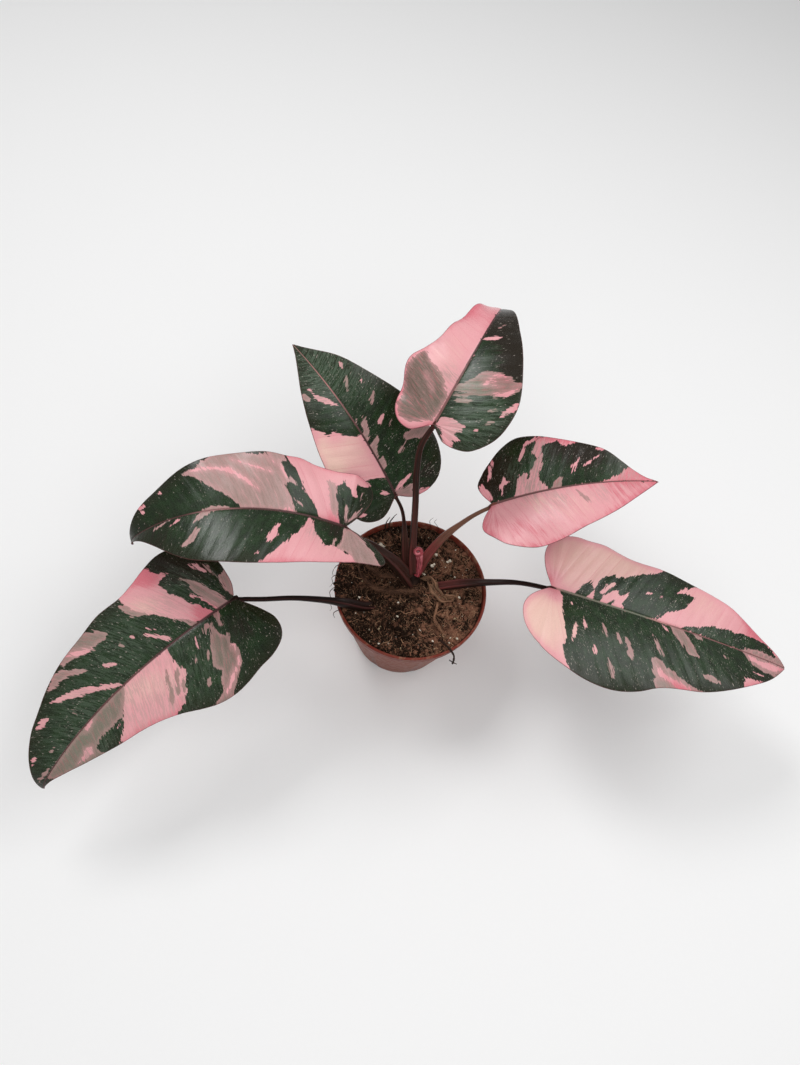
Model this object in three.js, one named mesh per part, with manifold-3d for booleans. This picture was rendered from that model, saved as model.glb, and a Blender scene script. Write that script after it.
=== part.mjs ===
// A variegated philodendron growing in a round nursery pot.
// Millimetres, +Z up. The origin is the centre of the pot's flat base, and -Y is the front.
import * as THREE from 'three';
import { mergeVertices } from 'three/addons/utils/BufferGeometryUtils.js';
import Module from 'manifold-3d';

const wasm = await Module();
wasm.setup();

// ---------------------------------------------------------------- driving dimensions

const GAP = 0.3;                    // clearance between neighbouring pieces
const CUT_GAP = GAP + 0.05;         // growth of a cutter, whose flat sides lie inside its round
const SEAT_GAP = 1.5 * GAP;         // clearance where two faceted rounds face each other
const WELD = 1e-4;                  // vertices closer than this are one

const POT = {
  height: 90,
  rimRadius: 60,
  baseRadius: 40,
  shoulderRadius: 57,               // outside of the tapered wall, just below the collar
  collarHeight: 10,
  wall: 1.5,
  floor: 1.8,
  lip: 2,                           // width of the rounded rim
  sides: 44,
  drains: 8,
  drainRadius: 4,
  drainDepth: 12,
  drainTilt: 35,                    // degrees, so that each drain cuts the corner of the base
};

const SOIL = {
  level: 86.3,                      // at the open edge, a little under the rim
  mound: 4.5,                       // rise towards the crown
  moundRadius: 24,
  heap: 6.4,                        // rise of the heap that lies against the rim on one side
  heapAngle: 184,                   // degrees from +X
  heapWidth: 34,                    // degrees, half width of the heap
  heapStart: 22,                    // radius from which it rises
  heapRun: 34,                      // distance over which it rises
  lump: 0.9,
  lumpRadius: 12,                   // the lumps are flatter nearer the middle than this
  spill: 2.9,                       // how far the heap lies out over the rim
  crust: 0.6,                       // thickness of its outer edge
  rings: 8,
};

const CROWN = { x: 0, y: 7 };       // where the shoots leave the soil

// Routes along a stem, sheath or root, from its base to its tip, with radii spread evenly along
// each. groove is the depth of the channel in its upper side, as a share of the radius, and
// flatness is its depth over its width.
const STEM = {
  route: [[3, -4, 62], [2, 1, 76], [0.5, 5, 88], [-1, 8.5, 97.5]],
  radii: [5.5, 7.5, 7, 4.2],
};

// Each petiole's route ends at the base of its blade, which is left out here.
const PETIOLES = {
  petiole_1: {
    route: [[-1.2, 8.5, 98.5], [-4, 15, 109], [-7, 27, 131], [-10.5, 39.5, 155],
      [-14, 51, 177], [-14.5, 61, 194.5]],
    radii: [3.4, 3.3, 2.8, 2.6, 2.5, 2.2, 1.6],
    groove: 0.28,
  },
  petiole_2: {
    route: [[-5, 12, 90], [-8.5, 20, 97], [-12.5, 32, 107], [-15.5, 42, 115],
      [-19.5, 48.2, 124]],
    radii: [3, 3.6, 3.2, 2.1, 1.8, 1.6],
    groove: 0.2,
  },
  petiole_3: {
    route: [[-3.5, 5, 91], [-10, 6.5, 102], [-18.5, 6.8, 115], [-33, 5.8, 133],
      [-46, 5.2, 143.2]],
    radii: [4.4, 5, 4.4, 3, 1.9, 1.7],
    groove: 0.3,
  },
  petiole_4: {
    route: [[3.2, 12.5, 93], [7.5, 23, 102.5], [17, 35.5, 115.5], [27.5, 43, 128],
      [36.5, 47, 139.5]],
    radii: [3.6, 4.2, 3.8, 2.5, 2, 1.7],
    groove: 0.28,
  },
  petiole_5: {
    route: [[7, 3, 78.5], [20.5, 6, 86.3], [38, 9, 94.5], [58, 10.5, 104],
      [80, 11, 112.5]],
    radii: [3, 3.6, 3.7, 2.6, 1.9, 1.7],
    groove: 0.22,
  },
  petiole_6: {
    route: [[-3.5, -3, 73.5], [-18, -15, 80.5], [-32, -23.5, 87.5], [-46, -27, 95.5],
      [-60, -30, 101], [-84, -36.5, 108], [-104, -44.5, 114]],
    radii: [3, 3.6, 3.9, 3.7, 2.6, 1.9, 1.8, 1.7],
    groove: 0.22,
  },
};

// Each blade lies along a midrib that starts at base and runs for length. heading and pitch
// are its direction in degrees at the base; turn and droop say how far they change by the tip,
// droop growing as the given power, and hook bends the last tenth down further. bank tips the
// blade about its midrib, and fold is the rise of each half at the base and at the tip.
// left and right are its outline, seen from above with the tip ahead: distance along the midrib
// and half width, from the sinus round the basal lobe to the tip.
const LEAVES = {
  leaf_1: {
    base: [-9, 72, 206], length: 140,
    heading: 68, turn: 12, pitch: 32, droop: -82, power: 1.5, bank: -4, twist: -2,
    fold: [18, 8], curl: 0.008, hook: 0,
    wave: { height: [2.6, 1.4], count: [4.5, 3.5], phase: [0.6, 0.2] },
    left: [[-2, 3], [-7, 8], [-11, 14], [-10, 22], [-5, 28], [3, 32], [14, 34], [27, 38], [38, 38],
      [50, 33], [62, 26], [78, 23], [92, 20], [106, 17], [120, 12], [131, 6], [140, 0]],
    right: [[-2, 3], [-5, 8], [-8, 14], [-8, 23], [-5, 33], [2, 40], [12, 46], [24, 48], [36, 47],
      [48, 43], [61, 37], [75, 30], [90, 23], [106, 16], [120, 10], [131, 5], [140, 0]],
  },
  leaf_2: {
    base: [-26, 53, 134], length: 138,
    heading: 140, turn: 7, pitch: 42, droop: -28, power: 1, bank: -10, twist: 0,
    fold: [16, 8], curl: 0.006, hook: 0,
    wave: { height: [1.2, 1.4], count: [3, 3.5], phase: [0.1, 0.4] },
    left: [[-2, 4], [-6, 10], [-9, 18], [-8, 26], [-4, 33], [3, 38], [14, 42], [28, 42], [44, 39],
      [60, 36], [75, 32], [90, 27], [105, 20], [118, 12], [129, 5], [138, 0]],
    right: [[-2, 3], [-7, 11], [-8, 19], [-7, 26], [-3, 34], [4, 41], [13, 46], [24, 49], [38, 49],
      [52, 47], [66, 42], [82, 35], [98, 27], [112, 19], [124, 10], [132, 4], [138, 0]],
  },
  leaf_3: {
    base: [-56, 5, 156], length: 170,
    heading: 191, turn: 12, pitch: 33, droop: -86, power: 1.4, bank: -1, twist: -3,
    fold: [20, 8], curl: 0.006, hook: -45,
    wave: { height: [1.4, 2.2], count: [3, 4.5], phase: [0.3, 0.1] },
    left: [[-4, 1.5], [-13, 4.5], [-22, 9], [-29, 15], [-32, 21], [-28, 26], [-15, 29], [2, 33],
      [20, 37], [38, 39], [56, 41], [76, 42], [95, 40], [112, 35], [127, 26], [141, 15], [152, 7],
      [162, 2.5], [170, 0]],
    right: [[-2, 2], [-8, 9], [-14, 17], [-18, 25], [-18, 33], [-12, 38], [-2, 40], [12, 38],
      [26, 40], [38, 43], [50, 41.5], [64, 43], [80, 43], [94, 41], [108, 36], [122, 31], [136, 25],
      [149, 17], [160, 8], [170, 0]],
  },
  leaf_4: {
    base: [47, 51, 152], length: 124,
    heading: 19, turn: -8, pitch: 28, droop: -30, power: 1, bank: 3, twist: 0,
    fold: [16, 8], curl: 0.006, hook: 0,
    wave: { height: [1.2, 1.4], count: [3, 3], phase: [0, 0.5] },
    left: [[-2, 3], [-6, 10], [-7, 17], [-2, 24], [6, 33], [15, 41], [26, 46], [38, 45], [50, 42],
      [64, 37], [77, 31], [88, 25], [98, 16], [106, 9], [115, 3], [124, 0]],
    right: [[-2, 2], [-8, 9], [-11, 16], [-10, 22], [-4, 29], [3, 36], [13, 41], [25, 44], [38, 43],
      [51, 40], [64, 35], [78, 29], [92, 22], [105, 14], [115, 7], [124, 0]],
  },
  leaf_5: {
    base: [104, 8, 122], length: 194,
    heading: -8, turn: 6, pitch: 2, droop: -20, power: 1.3, bank: -6, twist: 0,
    fold: [16, 8], curl: 0.006, hook: -10,
    wave: { height: [1.6, 1.8], count: [4, 4], phase: [0.2, 0] },
    left: [[-3, 4], [-9, 14], [-12, 26], [-10, 37], [-3, 45], [8, 49], [20, 49], [34, 51], [46, 49],
      [60, 46], [80, 45], [100, 44], [118, 41], [135, 35], [152, 27], [168, 19], [182, 10],
      [194, 0]],
    right: [[-3, 2], [-10, 9], [-16, 18], [-18, 28], [-14, 40], [-4, 51], [10, 60], [26, 66],
      [42, 68], [57, 67], [72, 63], [86, 56], [102, 51], [120, 46], [140, 38], [160, 27],
      [178, 15], [194, 0]],
  },
  leaf_6: {
    base: [-125, -52, 121], length: 190,
    heading: 229, turn: 14, pitch: -3, droop: -41, power: 2, bank: -14, twist: -10,
    fold: [16, 8], curl: 0.005, hook: -35,
    wave: { height: [1.6, 1.8], count: [4, 4.5], phase: [0.4, 0.1] },
    left: [[-3, 4], [-8, 12], [-13, 21], [-16, 29], [-15, 38], [-10, 45], [0, 50], [13, 52],
      [27, 55], [40, 56], [53, 54], [65, 49], [78, 42], [92, 36], [107, 31], [122, 27], [137, 22],
      [152, 16], [166, 9], [178, 3], [190, 0]],
    right: [[-2, 3], [-5, 10], [-6, 19], [-6, 28], [-3, 38], [3, 47], [12, 53], [24, 56], [36, 54],
      [48, 50], [60, 47], [76, 47], [92, 44], [108, 41], [124, 36], [140, 30], [154, 25],
      [167, 18], [178, 10], [190, 0]],
  },
};

const BLADE = {
  thickness: 1,
  marginThickness: 0.7,
  ribDepth: 1.6,                    // how far the midrib stands out below the blade, at the base
  veinSlant: 0.45,                  // how far a side vein runs tipward per unit of half width
  veinArch: 0.3,                    // how much the side veins bend towards the tip
  lobeRows: 7,                      // rows that fan out from the base into each lobe
  bodyRows: 15,
  columns: [0, 0.06, 0.2, 0.42, 0.7, 1],
  ribShares: [1, 0.15, 0, 0, 0, 0], // share of the midrib's depth at each column
  ribTaper: 0.75,                   // share of that depth lost by the tip
  edgeSamples: 400,                 // points read along each side of the outline
  sinusSamples: 40,                 // of which these lie in the notch at the base
  seat: 2.5,                        // how far below the blade's middle its petiole meets it
  overrun: 2,                       // how far the petiole is drawn past there, then cut square
};

// The sheath of a new shoot, then a dead sheath and roots that lie on the soil.
const CATAPHYLL = {
  route: [[2.6, 7.5, 97], [3.2, 11, 101], [3, 15.5, 106], [2, 19, 110.5], [3.4, 20.5, 112.5]],
  radii: [2.4, 2.7, 2.2, 3, 2],
};
const DRY_SHEATH = {
  route: [[9.5, 10.5, 90], [13.5, 8, 89.6], [16.5, 3.5, 88.8], [21, -0.5, 87.8], [27, -3.5, 87.2],
    [32, -2.5, 87], [36.5, 0.5, 86.8]],
  radii: [1.6, 2.8, 3.2, 2.6, 3, 2.4, 1.4],
  flatness: 0.38,
};
const ROOTS = {
  root_arc: {
    route: [[-42, 8, 85.5], [-38, 0, 88.6], [-32, -5.5, 89.2], [-20, -8.5, 89.6], [-8, -6.5, 90],
      [2, -3.5, 89.5], [8.5, 1, 86.5]],
    radii: [1.5, 1.8, 1.9, 2, 2, 1.9, 1.6],
  },
  root_twisted: {
    route: [[-41, 14, 85.5], [-33, 7.5, 90.2], [-24, 3.5, 91], [-17, 5, 91], [-11, 4.2, 87]],
    radii: [1.3, 1.7, 1.9, 1.7, 1.4],
  },
  root_thin: {
    route: [[22.5, -6, 84.5], [22.8, -10, 87.3], [22.6, -16, 87.6], [22.3, -22.5, 87.4],
      [26, -27, 87.2], [30.5, -31, 84.6]],
    radii: [0.9, 1, 1, 1.1, 1.4, 1.1],
  },
  root_rim: {
    route: [[28, -36, 84.8], [33, -41, 89.4], [37.6, -45.4, 91.9], [41.2, -48.6, 90],
      [42.4, -50.2, 84], [42.6, -50.6, 77]],
    radii: [0.8, 0.8, 0.75, 0.7, 0.7, 0.6],
  },
};

// ---------------------------------------------------------------- mesh helpers

const radians = THREE.MathUtils.degToRad;
const lerp = THREE.MathUtils.lerp;
const clamp = THREE.MathUtils.clamp;

// Joins equal vertices and drops the triangles that this leaves without an area.
function weld(geometry) {
  const bare = new THREE.BufferGeometry();
  bare.setAttribute('position', geometry.getAttribute('position').clone());
  if (geometry.index) bare.setIndex(geometry.index.clone());
  const merged = mergeVertices(bare, WELD);
  const kept = [];
  const index = merged.index.array;
  for (let i = 0; i < index.length; i += 3) {
    const [a, b, c] = [index[i], index[i + 1], index[i + 2]];
    if (a !== b && b !== c && c !== a) kept.push(a, b, c);
  }
  merged.setIndex(kept);
  return merged;
}

function signedVolume(geometry) {
  const position = geometry.getAttribute('position');
  const index = geometry.index.array;
  const corner = [new THREE.Vector3(), new THREE.Vector3(), new THREE.Vector3()];
  let volume = 0;
  for (let i = 0; i < index.length; i += 3) {
    corner.forEach((v, k) => v.fromBufferAttribute(position, index[i + k]));
    volume += corner[0].dot(corner[1].clone().cross(corner[2])) / 6;
  }
  return volume;
}

// A closed surface as a solid, with its faces turned outwards.
function toSolid(geometry) {
  const closed = weld(geometry);
  if (signedVolume(closed) < 0) {
    const index = closed.index.array;
    for (let i = 0; i < index.length; i += 3) [index[i], index[i + 1]] = [index[i + 1], index[i]];
  }
  return new wasm.Manifold(new wasm.Mesh({
    numProp: 3,
    vertProperties: Float32Array.from(closed.getAttribute('position').array),
    triVerts: Uint32Array.from(closed.index.array),
  }));
}

// Rows of equal length, closed round each row, with a cap over the first and the last row.
function closedRows(rows) {
  const count = rows[0].length;
  const points = rows.flat();
  const faces = [];
  for (let r = 0; r + 1 < rows.length; r++) {
    for (let k = 0; k < count; k++) {
      const a = r * count + k;
      const b = r * count + (k + 1) % count;
      faces.push(a, b, a + count, b, b + count, a + count);
    }
  }
  for (const [start, outward] of [[0, false], [(rows.length - 1) * count, true]]) {
    const centre = new THREE.Vector3();
    for (let k = 0; k < count; k++) centre.addScaledVector(points[start + k], 1 / count);
    points.push(centre);
    for (let k = 0; k < count; k++) {
      const a = start + k;
      const b = start + (k + 1) % count;
      if (outward) faces.push(a, b, points.length - 1);
      else faces.push(b, a, points.length - 1);
    }
  }
  return new THREE.BufferGeometry().setFromPoints(points).setIndex(faces);
}

const vectors = (route) => route.map((p) => new THREE.Vector3(...p));

// A tube along a route. Its section is an ellipse, wider than deep by 1 / flatness, with an
// optional groove along its upper side; grow makes it thicker all round.
function tube({ route, radii, flatness = 1, groove = 0 }, { around = 10, steps = 16, grow = 0 } = {}) {
  const curve = new THREE.CatmullRomCurve3(vectors(route), false, 'centripetal');
  const rows = [];
  const up = new THREE.Vector3(0, 0, 1);
  let side = null;
  for (let i = 0; i <= steps; i++) {
    const t = i / steps;
    const along = t * (radii.length - 1);
    const k = Math.min(Math.floor(along), radii.length - 2);
    const bare = lerp(radii[k], radii[k + 1], along - k);
    const width = bare + grow;
    const depth = bare * flatness + grow;
    const centre = curve.getPoint(t);
    const ahead = curve.getTangent(t);
    if (!side) side = new THREE.Vector3().crossVectors(up, ahead).normalize();
    side.addScaledVector(ahead, -side.dot(ahead)).normalize();
    const top = new THREE.Vector3().crossVectors(ahead, side);
    const row = [];
    for (let n = 0; n < around; n++) {
      const angle = (n / around) * 2 * Math.PI;
      const dent = 1 - groove * Math.max(0, Math.sin(angle)) ** 6;
      row.push(centre.clone()
        .addScaledVector(side, Math.cos(angle) * width)
        .addScaledVector(top, Math.sin(angle) * depth * dent));
    }
    rows.push(row);
  }
  if (grow) {
    const lengthen = (row, towards) => row.forEach((p) => p.addScaledVector(towards, grow));
    lengthen(rows[0], curve.getTangent(0).negate());
    lengthen(rows[steps], curve.getTangent(1));
  }
  return toSolid(closedRows(rows));
}

// Cuts neighbours out of a solid and keeps its largest remaining piece.
function carve(solid, cutters) {
  const cut = cutters.reduce((rest, cutter) => rest.subtract(cutter), solid);
  const pieces = cut.decompose().sort((a, b) => b.volume() - a.volume());
  return pieces[0];
}

function toGeometry(solid) {
  const { vertProperties, triVerts } = solid.getMesh();
  const geometry = new THREE.BufferGeometry();
  geometry.setAttribute('position', new THREE.BufferAttribute(vertProperties, 3));
  geometry.setIndex(new THREE.BufferAttribute(triVerts, 1));
  geometry.computeVertexNormals();
  return geometry;
}

// ---------------------------------------------------------------- pot

function makePot() {
  const { height, rimRadius, baseRadius, shoulderRadius, collarHeight, wall, floor, lip } = POT;
  const shoulder = height - collarHeight;
  const profile = [
    [0, 0], [baseRadius - 1.2, 0], [baseRadius, 1.2],
    [shoulderRadius, shoulder - 0.6], [rimRadius - 1.4, shoulder + 0.4],
    [rimRadius - 0.7, height - 2.6], [rimRadius, height - 1.8], [rimRadius, height - 0.6],
    [rimRadius - 0.5, height], [rimRadius - lip + 0.5, height],
    [rimRadius - lip, height - 0.6], [rimRadius - lip - 0.4, shoulder + 1],
    [shoulderRadius - wall, shoulder - 1], [baseRadius - wall + 0.4, floor], [0, floor],
  ].map(([r, z]) => new THREE.Vector2(r, z));
  const shell = new THREE.LatheGeometry(profile, POT.sides).rotateX(Math.PI / 2);
  const drains = Array.from({ length: POT.drains }, (_, i) => {
    const angle = ((i + 0.5) / POT.drains) * 2 * Math.PI;
    const hole = new THREE.CylinderGeometry(POT.drainRadius, POT.drainRadius, POT.drainDepth, 12);
    hole.rotateX(Math.PI / 2).rotateY(radians(-POT.drainTilt)).translate(baseRadius - wall, 0, 0);
    return toSolid(hole.rotateZ(angle));
  });
  return carve(toSolid(shell), drains);
}

// ---------------------------------------------------------------- soil

// Height of the soil's surface, with lumps from a few crossed waves.
function soilHeight(radius, angle) {
  const x = radius * Math.cos(angle);
  const y = radius * Math.sin(angle);
  const fromCrown = Math.hypot(x - CROWN.x, y - CROWN.y);
  const mound = SOIL.mound * Math.exp(-((fromCrown / SOIL.moundRadius) ** 2));
  const reach = clamp((radius - SOIL.heapStart) / SOIL.heapRun, 0, 1);
  const heap = SOIL.heap * heapShare(angle) * reach * reach * (3 - 2 * reach);
  const lumps = Math.sin(0.31 * x + 1.3) * Math.cos(0.27 * y - 0.4)
    + 0.6 * Math.sin(0.53 * x - 0.41 * y + 2.1) + 0.4 * Math.cos(0.83 * x + 0.71 * y);
  const roughness = SOIL.lump * clamp(radius / SOIL.lumpRadius, 0.3, 1);
  return SOIL.level + mound + heap + roughness * lumps;
}

// 1 in the middle of the heap by the rim, falling to 0 at its ends.
function heapShare(angle) {
  const away = Math.abs(Math.atan2(
    Math.sin(angle - radians(SOIL.heapAngle)),
    Math.cos(angle - radians(SOIL.heapAngle)),
  ));
  return Math.exp(-((away / radians(SOIL.heapWidth)) ** 4));
}

// The soil fills the pot, and its heap lies out over the rim.
function makeSoil(cutters) {
  const { height, rimRadius, baseRadius, shoulderRadius, collarHeight, wall, floor, lip } = POT;
  const shoulder = height - collarHeight;
  const edge = rimRadius - lip - 0.4 - SEAT_GAP;
  const overRim = height + SEAT_GAP;
  const rows = [];
  const ringOf = (heightAt) => {
    const row = [];
    for (let k = 0; k < POT.sides; k++) {
      const angle = (k / POT.sides) * 2 * Math.PI;
      const [r, z] = heightAt(angle);
      row.push(new THREE.Vector3(r * Math.cos(angle), r * Math.sin(angle), z));
    }
    rows.push(row);
  };
  for (let i = 1; i <= SOIL.rings; i++) {
    const radius = (i / SOIL.rings) * edge;
    ringOf((angle) => [radius, soilHeight(radius, angle)]);
  }
  const spread = (angle) => {
    const above = soilHeight(edge, angle) - overRim - SOIL.crust - 0.2;
    return SOIL.spill * clamp(above, 0, 1);
  };
  const under = (angle) => Math.min(soilHeight(edge, angle) - SOIL.crust, overRim);
  const shed = (angle) => {
    const fallen = soilHeight(edge, angle) - 0.4 - 0.5 * spread(angle);
    return Math.max(fallen, under(angle) + 0.2);
  };
  ringOf((angle) => [edge + spread(angle), shed(angle)]);
  ringOf((angle) => [edge + spread(angle), under(angle)]);
  ringOf((angle) => [edge, under(angle) - 0.1]);
  ringOf(() => [edge, shoulder + 1.4]);
  ringOf(() => [shoulderRadius - wall - SEAT_GAP, shoulder - 0.8]);
  ringOf(() => [baseRadius - wall, floor + GAP]);
  return carve(toSolid(closedRows(rows)), cutters);
}

// ---------------------------------------------------------------- blades

// Samples a leaf's midrib once, every STEP mm, so that points along it can be read off.
const STEP = 2;
function midrib(leaf) {
  const points = [new THREE.Vector3(...leaf.base)];
  for (let u = 0; u < leaf.length; u += STEP) {
    const { ahead } = bladeAxes(leaf, u + STEP / 2);
    points.push(points[points.length - 1].clone().addScaledVector(ahead, STEP));
  }
  return points;
}

// Directions at distance u from the blade's base: ahead along the midrib, to the left, and up.
function bladeAxes(leaf, u) {
  const share = clamp(u / leaf.length, 0, 1.05);
  const heading = radians(leaf.heading + leaf.turn * share);
  const nearTip = clamp((share - 0.9) / 0.1, 0, 1);
  const pitch = radians(leaf.pitch + leaf.droop * share ** leaf.power + leaf.hook * nearTip ** 2);
  const bank = radians(leaf.bank + leaf.twist * share);
  const ahead = new THREE.Vector3(
    Math.cos(pitch) * Math.cos(heading), Math.cos(pitch) * Math.sin(heading), Math.sin(pitch));
  const level = new THREE.Vector3(-Math.sin(heading), Math.cos(heading), 0);
  const left = level.clone().applyAxisAngle(ahead, bank);
  return { ahead, left, up: new THREE.Vector3().crossVectors(ahead, left) };
}

// A point of the blade's middle surface, u along the midrib and w to its left.
function bladePoint(leaf, rib, u, w, lift = 0) {
  const { ahead, left, up } = bladeAxes(leaf, u);
  const at = clamp(u / STEP, 0, rib.length - 1.001);
  const k = Math.floor(at);
  const point = rib[k].clone().lerp(rib[k + 1], at - k);
  if (u < 0) point.addScaledVector(ahead, u);
  const share = clamp(u / leaf.length, 0, 1);
  const fold = radians(lerp(leaf.fold[0], leaf.fold[1], Math.sqrt(share)));
  const reach = Math.abs(w);
  const outward = (Math.sin(fold) - Math.sin(fold - leaf.curl * reach)) / leaf.curl;
  const upward = (Math.cos(fold - leaf.curl * reach) - Math.cos(fold)) / leaf.curl;
  return point.addScaledVector(left, outward * Math.sign(w)).addScaledVector(up, upward + lift);
}

// The outline points of one side and the places on the midrib that its side veins start from.
function veinEnds(leaf, outline) {
  const edge = new THREE.SplineCurve(outline.map(([u, w]) => new THREE.Vector2(u, w)));
  const { edgeSamples, sinusSamples, lobeRows, bodyRows } = BLADE;
  const samples = edge.getSpacedPoints(edgeSamples);
  const start = samples.map((p) => p.x - BLADE.veinSlant * p.y);
  const first = samples.findIndex((p, i) => i > sinusSamples && start[i] >= 0 && p.x > 0);
  const ends = [];
  const addEnd = (root, k) => ends.push({ root, edge: samples[k], share: k / edgeSamples });
  for (let i = 0; i <= lobeRows; i++) addEnd(0, Math.round((i / lobeRows) * first));
  for (let i = 1; i <= bodyRows; i++) {
    const root = (i / bodyRows) * leaf.length;
    const found = samples.findIndex((p, j) => j > first && start[j] >= root);
    addEnd(root, i === bodyRows || found < 0 ? edgeSamples : found);
  }
  return ends;
}

// How far the blade's wavy margin lifts it, share of the way out along the side vein at end.
function ruffle(leaf, side, end, share) {
  const { height, count, phase } = leaf.wave;
  const turns = count[side] * end.share + phase[side];
  const fadeAtEnds = Math.sqrt(Math.sin(Math.PI * clamp(end.share, 0, 1)));
  return height[side] * share ** 2.5 * Math.sin(2 * Math.PI * turns) * fadeAtEnds;
}

// A closed blade: two alike faces either side of its middle surface, and a margin round them.
function makeBlade(leaf) {
  const rib = midrib(leaf);
  const points = [];
  const faces = [];
  const ids = { top: [], bottom: [] };
  const addPair = (side, column, end) => {
    const atTip = end.root >= leaf.length;
    const share = atTip ? 1 : BLADE.columns[column];
    const arch = 1 + BLADE.veinArch * Math.sqrt(clamp(end.root / leaf.length, 0, 1));
    const u = end.root + (end.edge.x - end.root) * share ** arch;
    const w = end.edge.y * share * (side === 0 ? 1 : -1);
    const middle = bladePoint(leaf, rib, u, w, ruffle(leaf, side, end, share));
    const alongU = bladePoint(leaf, rib, u + 0.5, w).sub(bladePoint(leaf, rib, u - 0.5, w));
    const flat = w === 0 ? 0.01 : w;
    const alongW = bladePoint(leaf, rib, u, flat + 0.2).sub(bladePoint(leaf, rib, u, flat - 0.2));
    const normal = w === 0 ? bladeAxes(leaf, u).up : alongU.cross(alongW).normalize();
    const taper = 1 - BLADE.ribTaper * clamp(u / leaf.length, 0, 1);
    const ribShare = atTip ? 0 : BLADE.ribShares[column];
    const ribHere = BLADE.ribDepth * taper * ribShare;
    const half = lerp(BLADE.thickness, BLADE.marginThickness, share) / 2;
    const id = points.length;
    points.push(middle.clone().addScaledVector(normal, half));
    points.push(middle.clone().addScaledVector(normal, -half - ribHere));
    return id;
  };
  const grids = [leaf.left, leaf.right].map((outline, side) => veinEnds(leaf, outline)
    .map((end) => BLADE.columns.map((_, column) => addPair(side, column, end))));
  const quad = (a, b, c, d) => {
    faces.push(a, b, c, a, c, d);
    faces.push(a + 1, c + 1, b + 1, a + 1, d + 1, c + 1);
  };
  const wall = (a, b) => faces.push(a, b, a + 1, b, b + 1, a + 1);
  grids.forEach((grid, side) => {
    const last = BLADE.columns.length - 1;
    for (let r = 0; r + 1 < grid.length; r++) {
      for (let c = 0; c < last; c++) {
        const [a, b, d, e] = [grid[r][c], grid[r][c + 1], grid[r + 1][c + 1], grid[r + 1][c]];
        if (side === 0) quad(a, e, d, b);
        else quad(a, b, d, e);
      }
      if (side === 0) wall(grid[r][last], grid[r + 1][last]);
      else wall(grid[r + 1][last], grid[r][last]);
    }
    for (let c = 0; c < last; c++) {
      if (side === 0) wall(grid[0][c], grid[0][c + 1]);
      else wall(grid[0][c + 1], grid[0][c]);
    }
  });
  return toSolid(new THREE.BufferGeometry().setFromPoints(points).setIndex(faces));
}

// A block over everything ahead of a blade's base, which squares off the end of its petiole.
function aheadOf(leaf) {
  const side = 30;
  const { ahead, left, up } = bladeAxes(leaf, 0);
  const centre = new THREE.Vector3(...leaf.base).addScaledVector(ahead, side / 2 - SEAT_GAP);
  const place = new THREE.Matrix4().makeBasis(ahead, left, up).setPosition(centre);
  return toSolid(new THREE.BoxGeometry(side, side, side).applyMatrix4(place));
}

// ---------------------------------------------------------------- materials and assembly

function finish(color, roughness) {
  return new THREE.MeshStandardMaterial({ color, roughness, metalness: 0 });
}
const FINISH = {
  pot: finish(0x8a4a3a, 0.55),
  soil: finish(0x3b2a20, 0.95),
  stem: finish(0x2a1414, 0.5),
  petiole: finish(0x35161a, 0.4),
  leaf: finish(0x3a4a38, 0.35),
  cataphyll: finish(0xb84a5c, 0.45),
  dry: finish(0x9a7a58, 0.85),
  root: finish(0x5a3c28, 0.8),
};

const plant = new THREE.Group();
function add(name, solid, material) {
  const mesh = new THREE.Mesh(toGeometry(solid), material);
  mesh.name = name;
  plant.add(mesh);
}

const FACETS = {
  stem: { around: 14, steps: 8 },
  petiole: { around: 9, steps: 16 },
  cataphyll: { around: 10, steps: 12 },
  drySheath: { around: 10, steps: 14 },
  root: { around: 7, steps: 12 },
};
const cutterFor = (form, facets) => tube(form, { ...facets, grow: CUT_GAP });

const stem = tube(STEM, FACETS.stem);
const stemCutter = cutterFor(STEM, FACETS.stem);
const soilCutters = [stemCutter];

// Each petiole gives way to the stem and to the petioles before it.
const petioleCutters = [];
const petioles = {};
for (const [name, { route, ...form }] of Object.entries(PETIOLES)) {
  const leaf = LEAVES[name.replace('petiole', 'leaf')];
  const { ahead, up } = bladeAxes(leaf, 0);
  const end = new THREE.Vector3(...leaf.base).addScaledVector(up, -BLADE.seat)
    .addScaledVector(ahead, BLADE.overrun);
  const petiole = { ...form, route: [...route, end.toArray()] };
  const cutters = [stemCutter, aheadOf(leaf), ...petioleCutters];
  petioles[name] = carve(tube(petiole, FACETS.petiole), cutters);
  petioleCutters.push(cutterFor(petiole, FACETS.petiole));
}
soilCutters.push(...petioleCutters);

const shootCutters = [stemCutter, ...petioleCutters];
const cataphyll = carve(tube(CATAPHYLL, FACETS.cataphyll), shootCutters);
soilCutters.push(cutterFor(CATAPHYLL, FACETS.cataphyll));

const drySheath = carve(tube(DRY_SHEATH, FACETS.drySheath), shootCutters);
const litterCutters = [cutterFor(DRY_SHEATH, FACETS.drySheath)];
const roots = {};
for (const [name, root] of Object.entries(ROOTS)) {
  roots[name] = carve(tube(root, FACETS.root), [...shootCutters, ...litterCutters]);
  litterCutters.push(cutterFor(root, FACETS.root));
}
soilCutters.push(...litterCutters);

add('pot', makePot(), FINISH.pot);
add('soil', makeSoil(soilCutters), FINISH.soil);
add('stem', stem, FINISH.stem);
for (const [name, solid] of Object.entries(petioles)) add(name, solid, FINISH.petiole);
for (const [name, leaf] of Object.entries(LEAVES)) add(name, makeBlade(leaf), FINISH.leaf);
add('cataphyll', cataphyll, FINISH.cataphyll);
add('dry_sheath', drySheath, FINISH.dry);
for (const [name, solid] of Object.entries(roots)) add(name, solid, FINISH.root);

export default plant;
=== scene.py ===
import math

import bpy
import numpy as np
from bpy.props import FloatProperty, FloatVectorProperty, IntProperty, PointerProperty
from mathutils import Matrix, Vector


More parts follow.
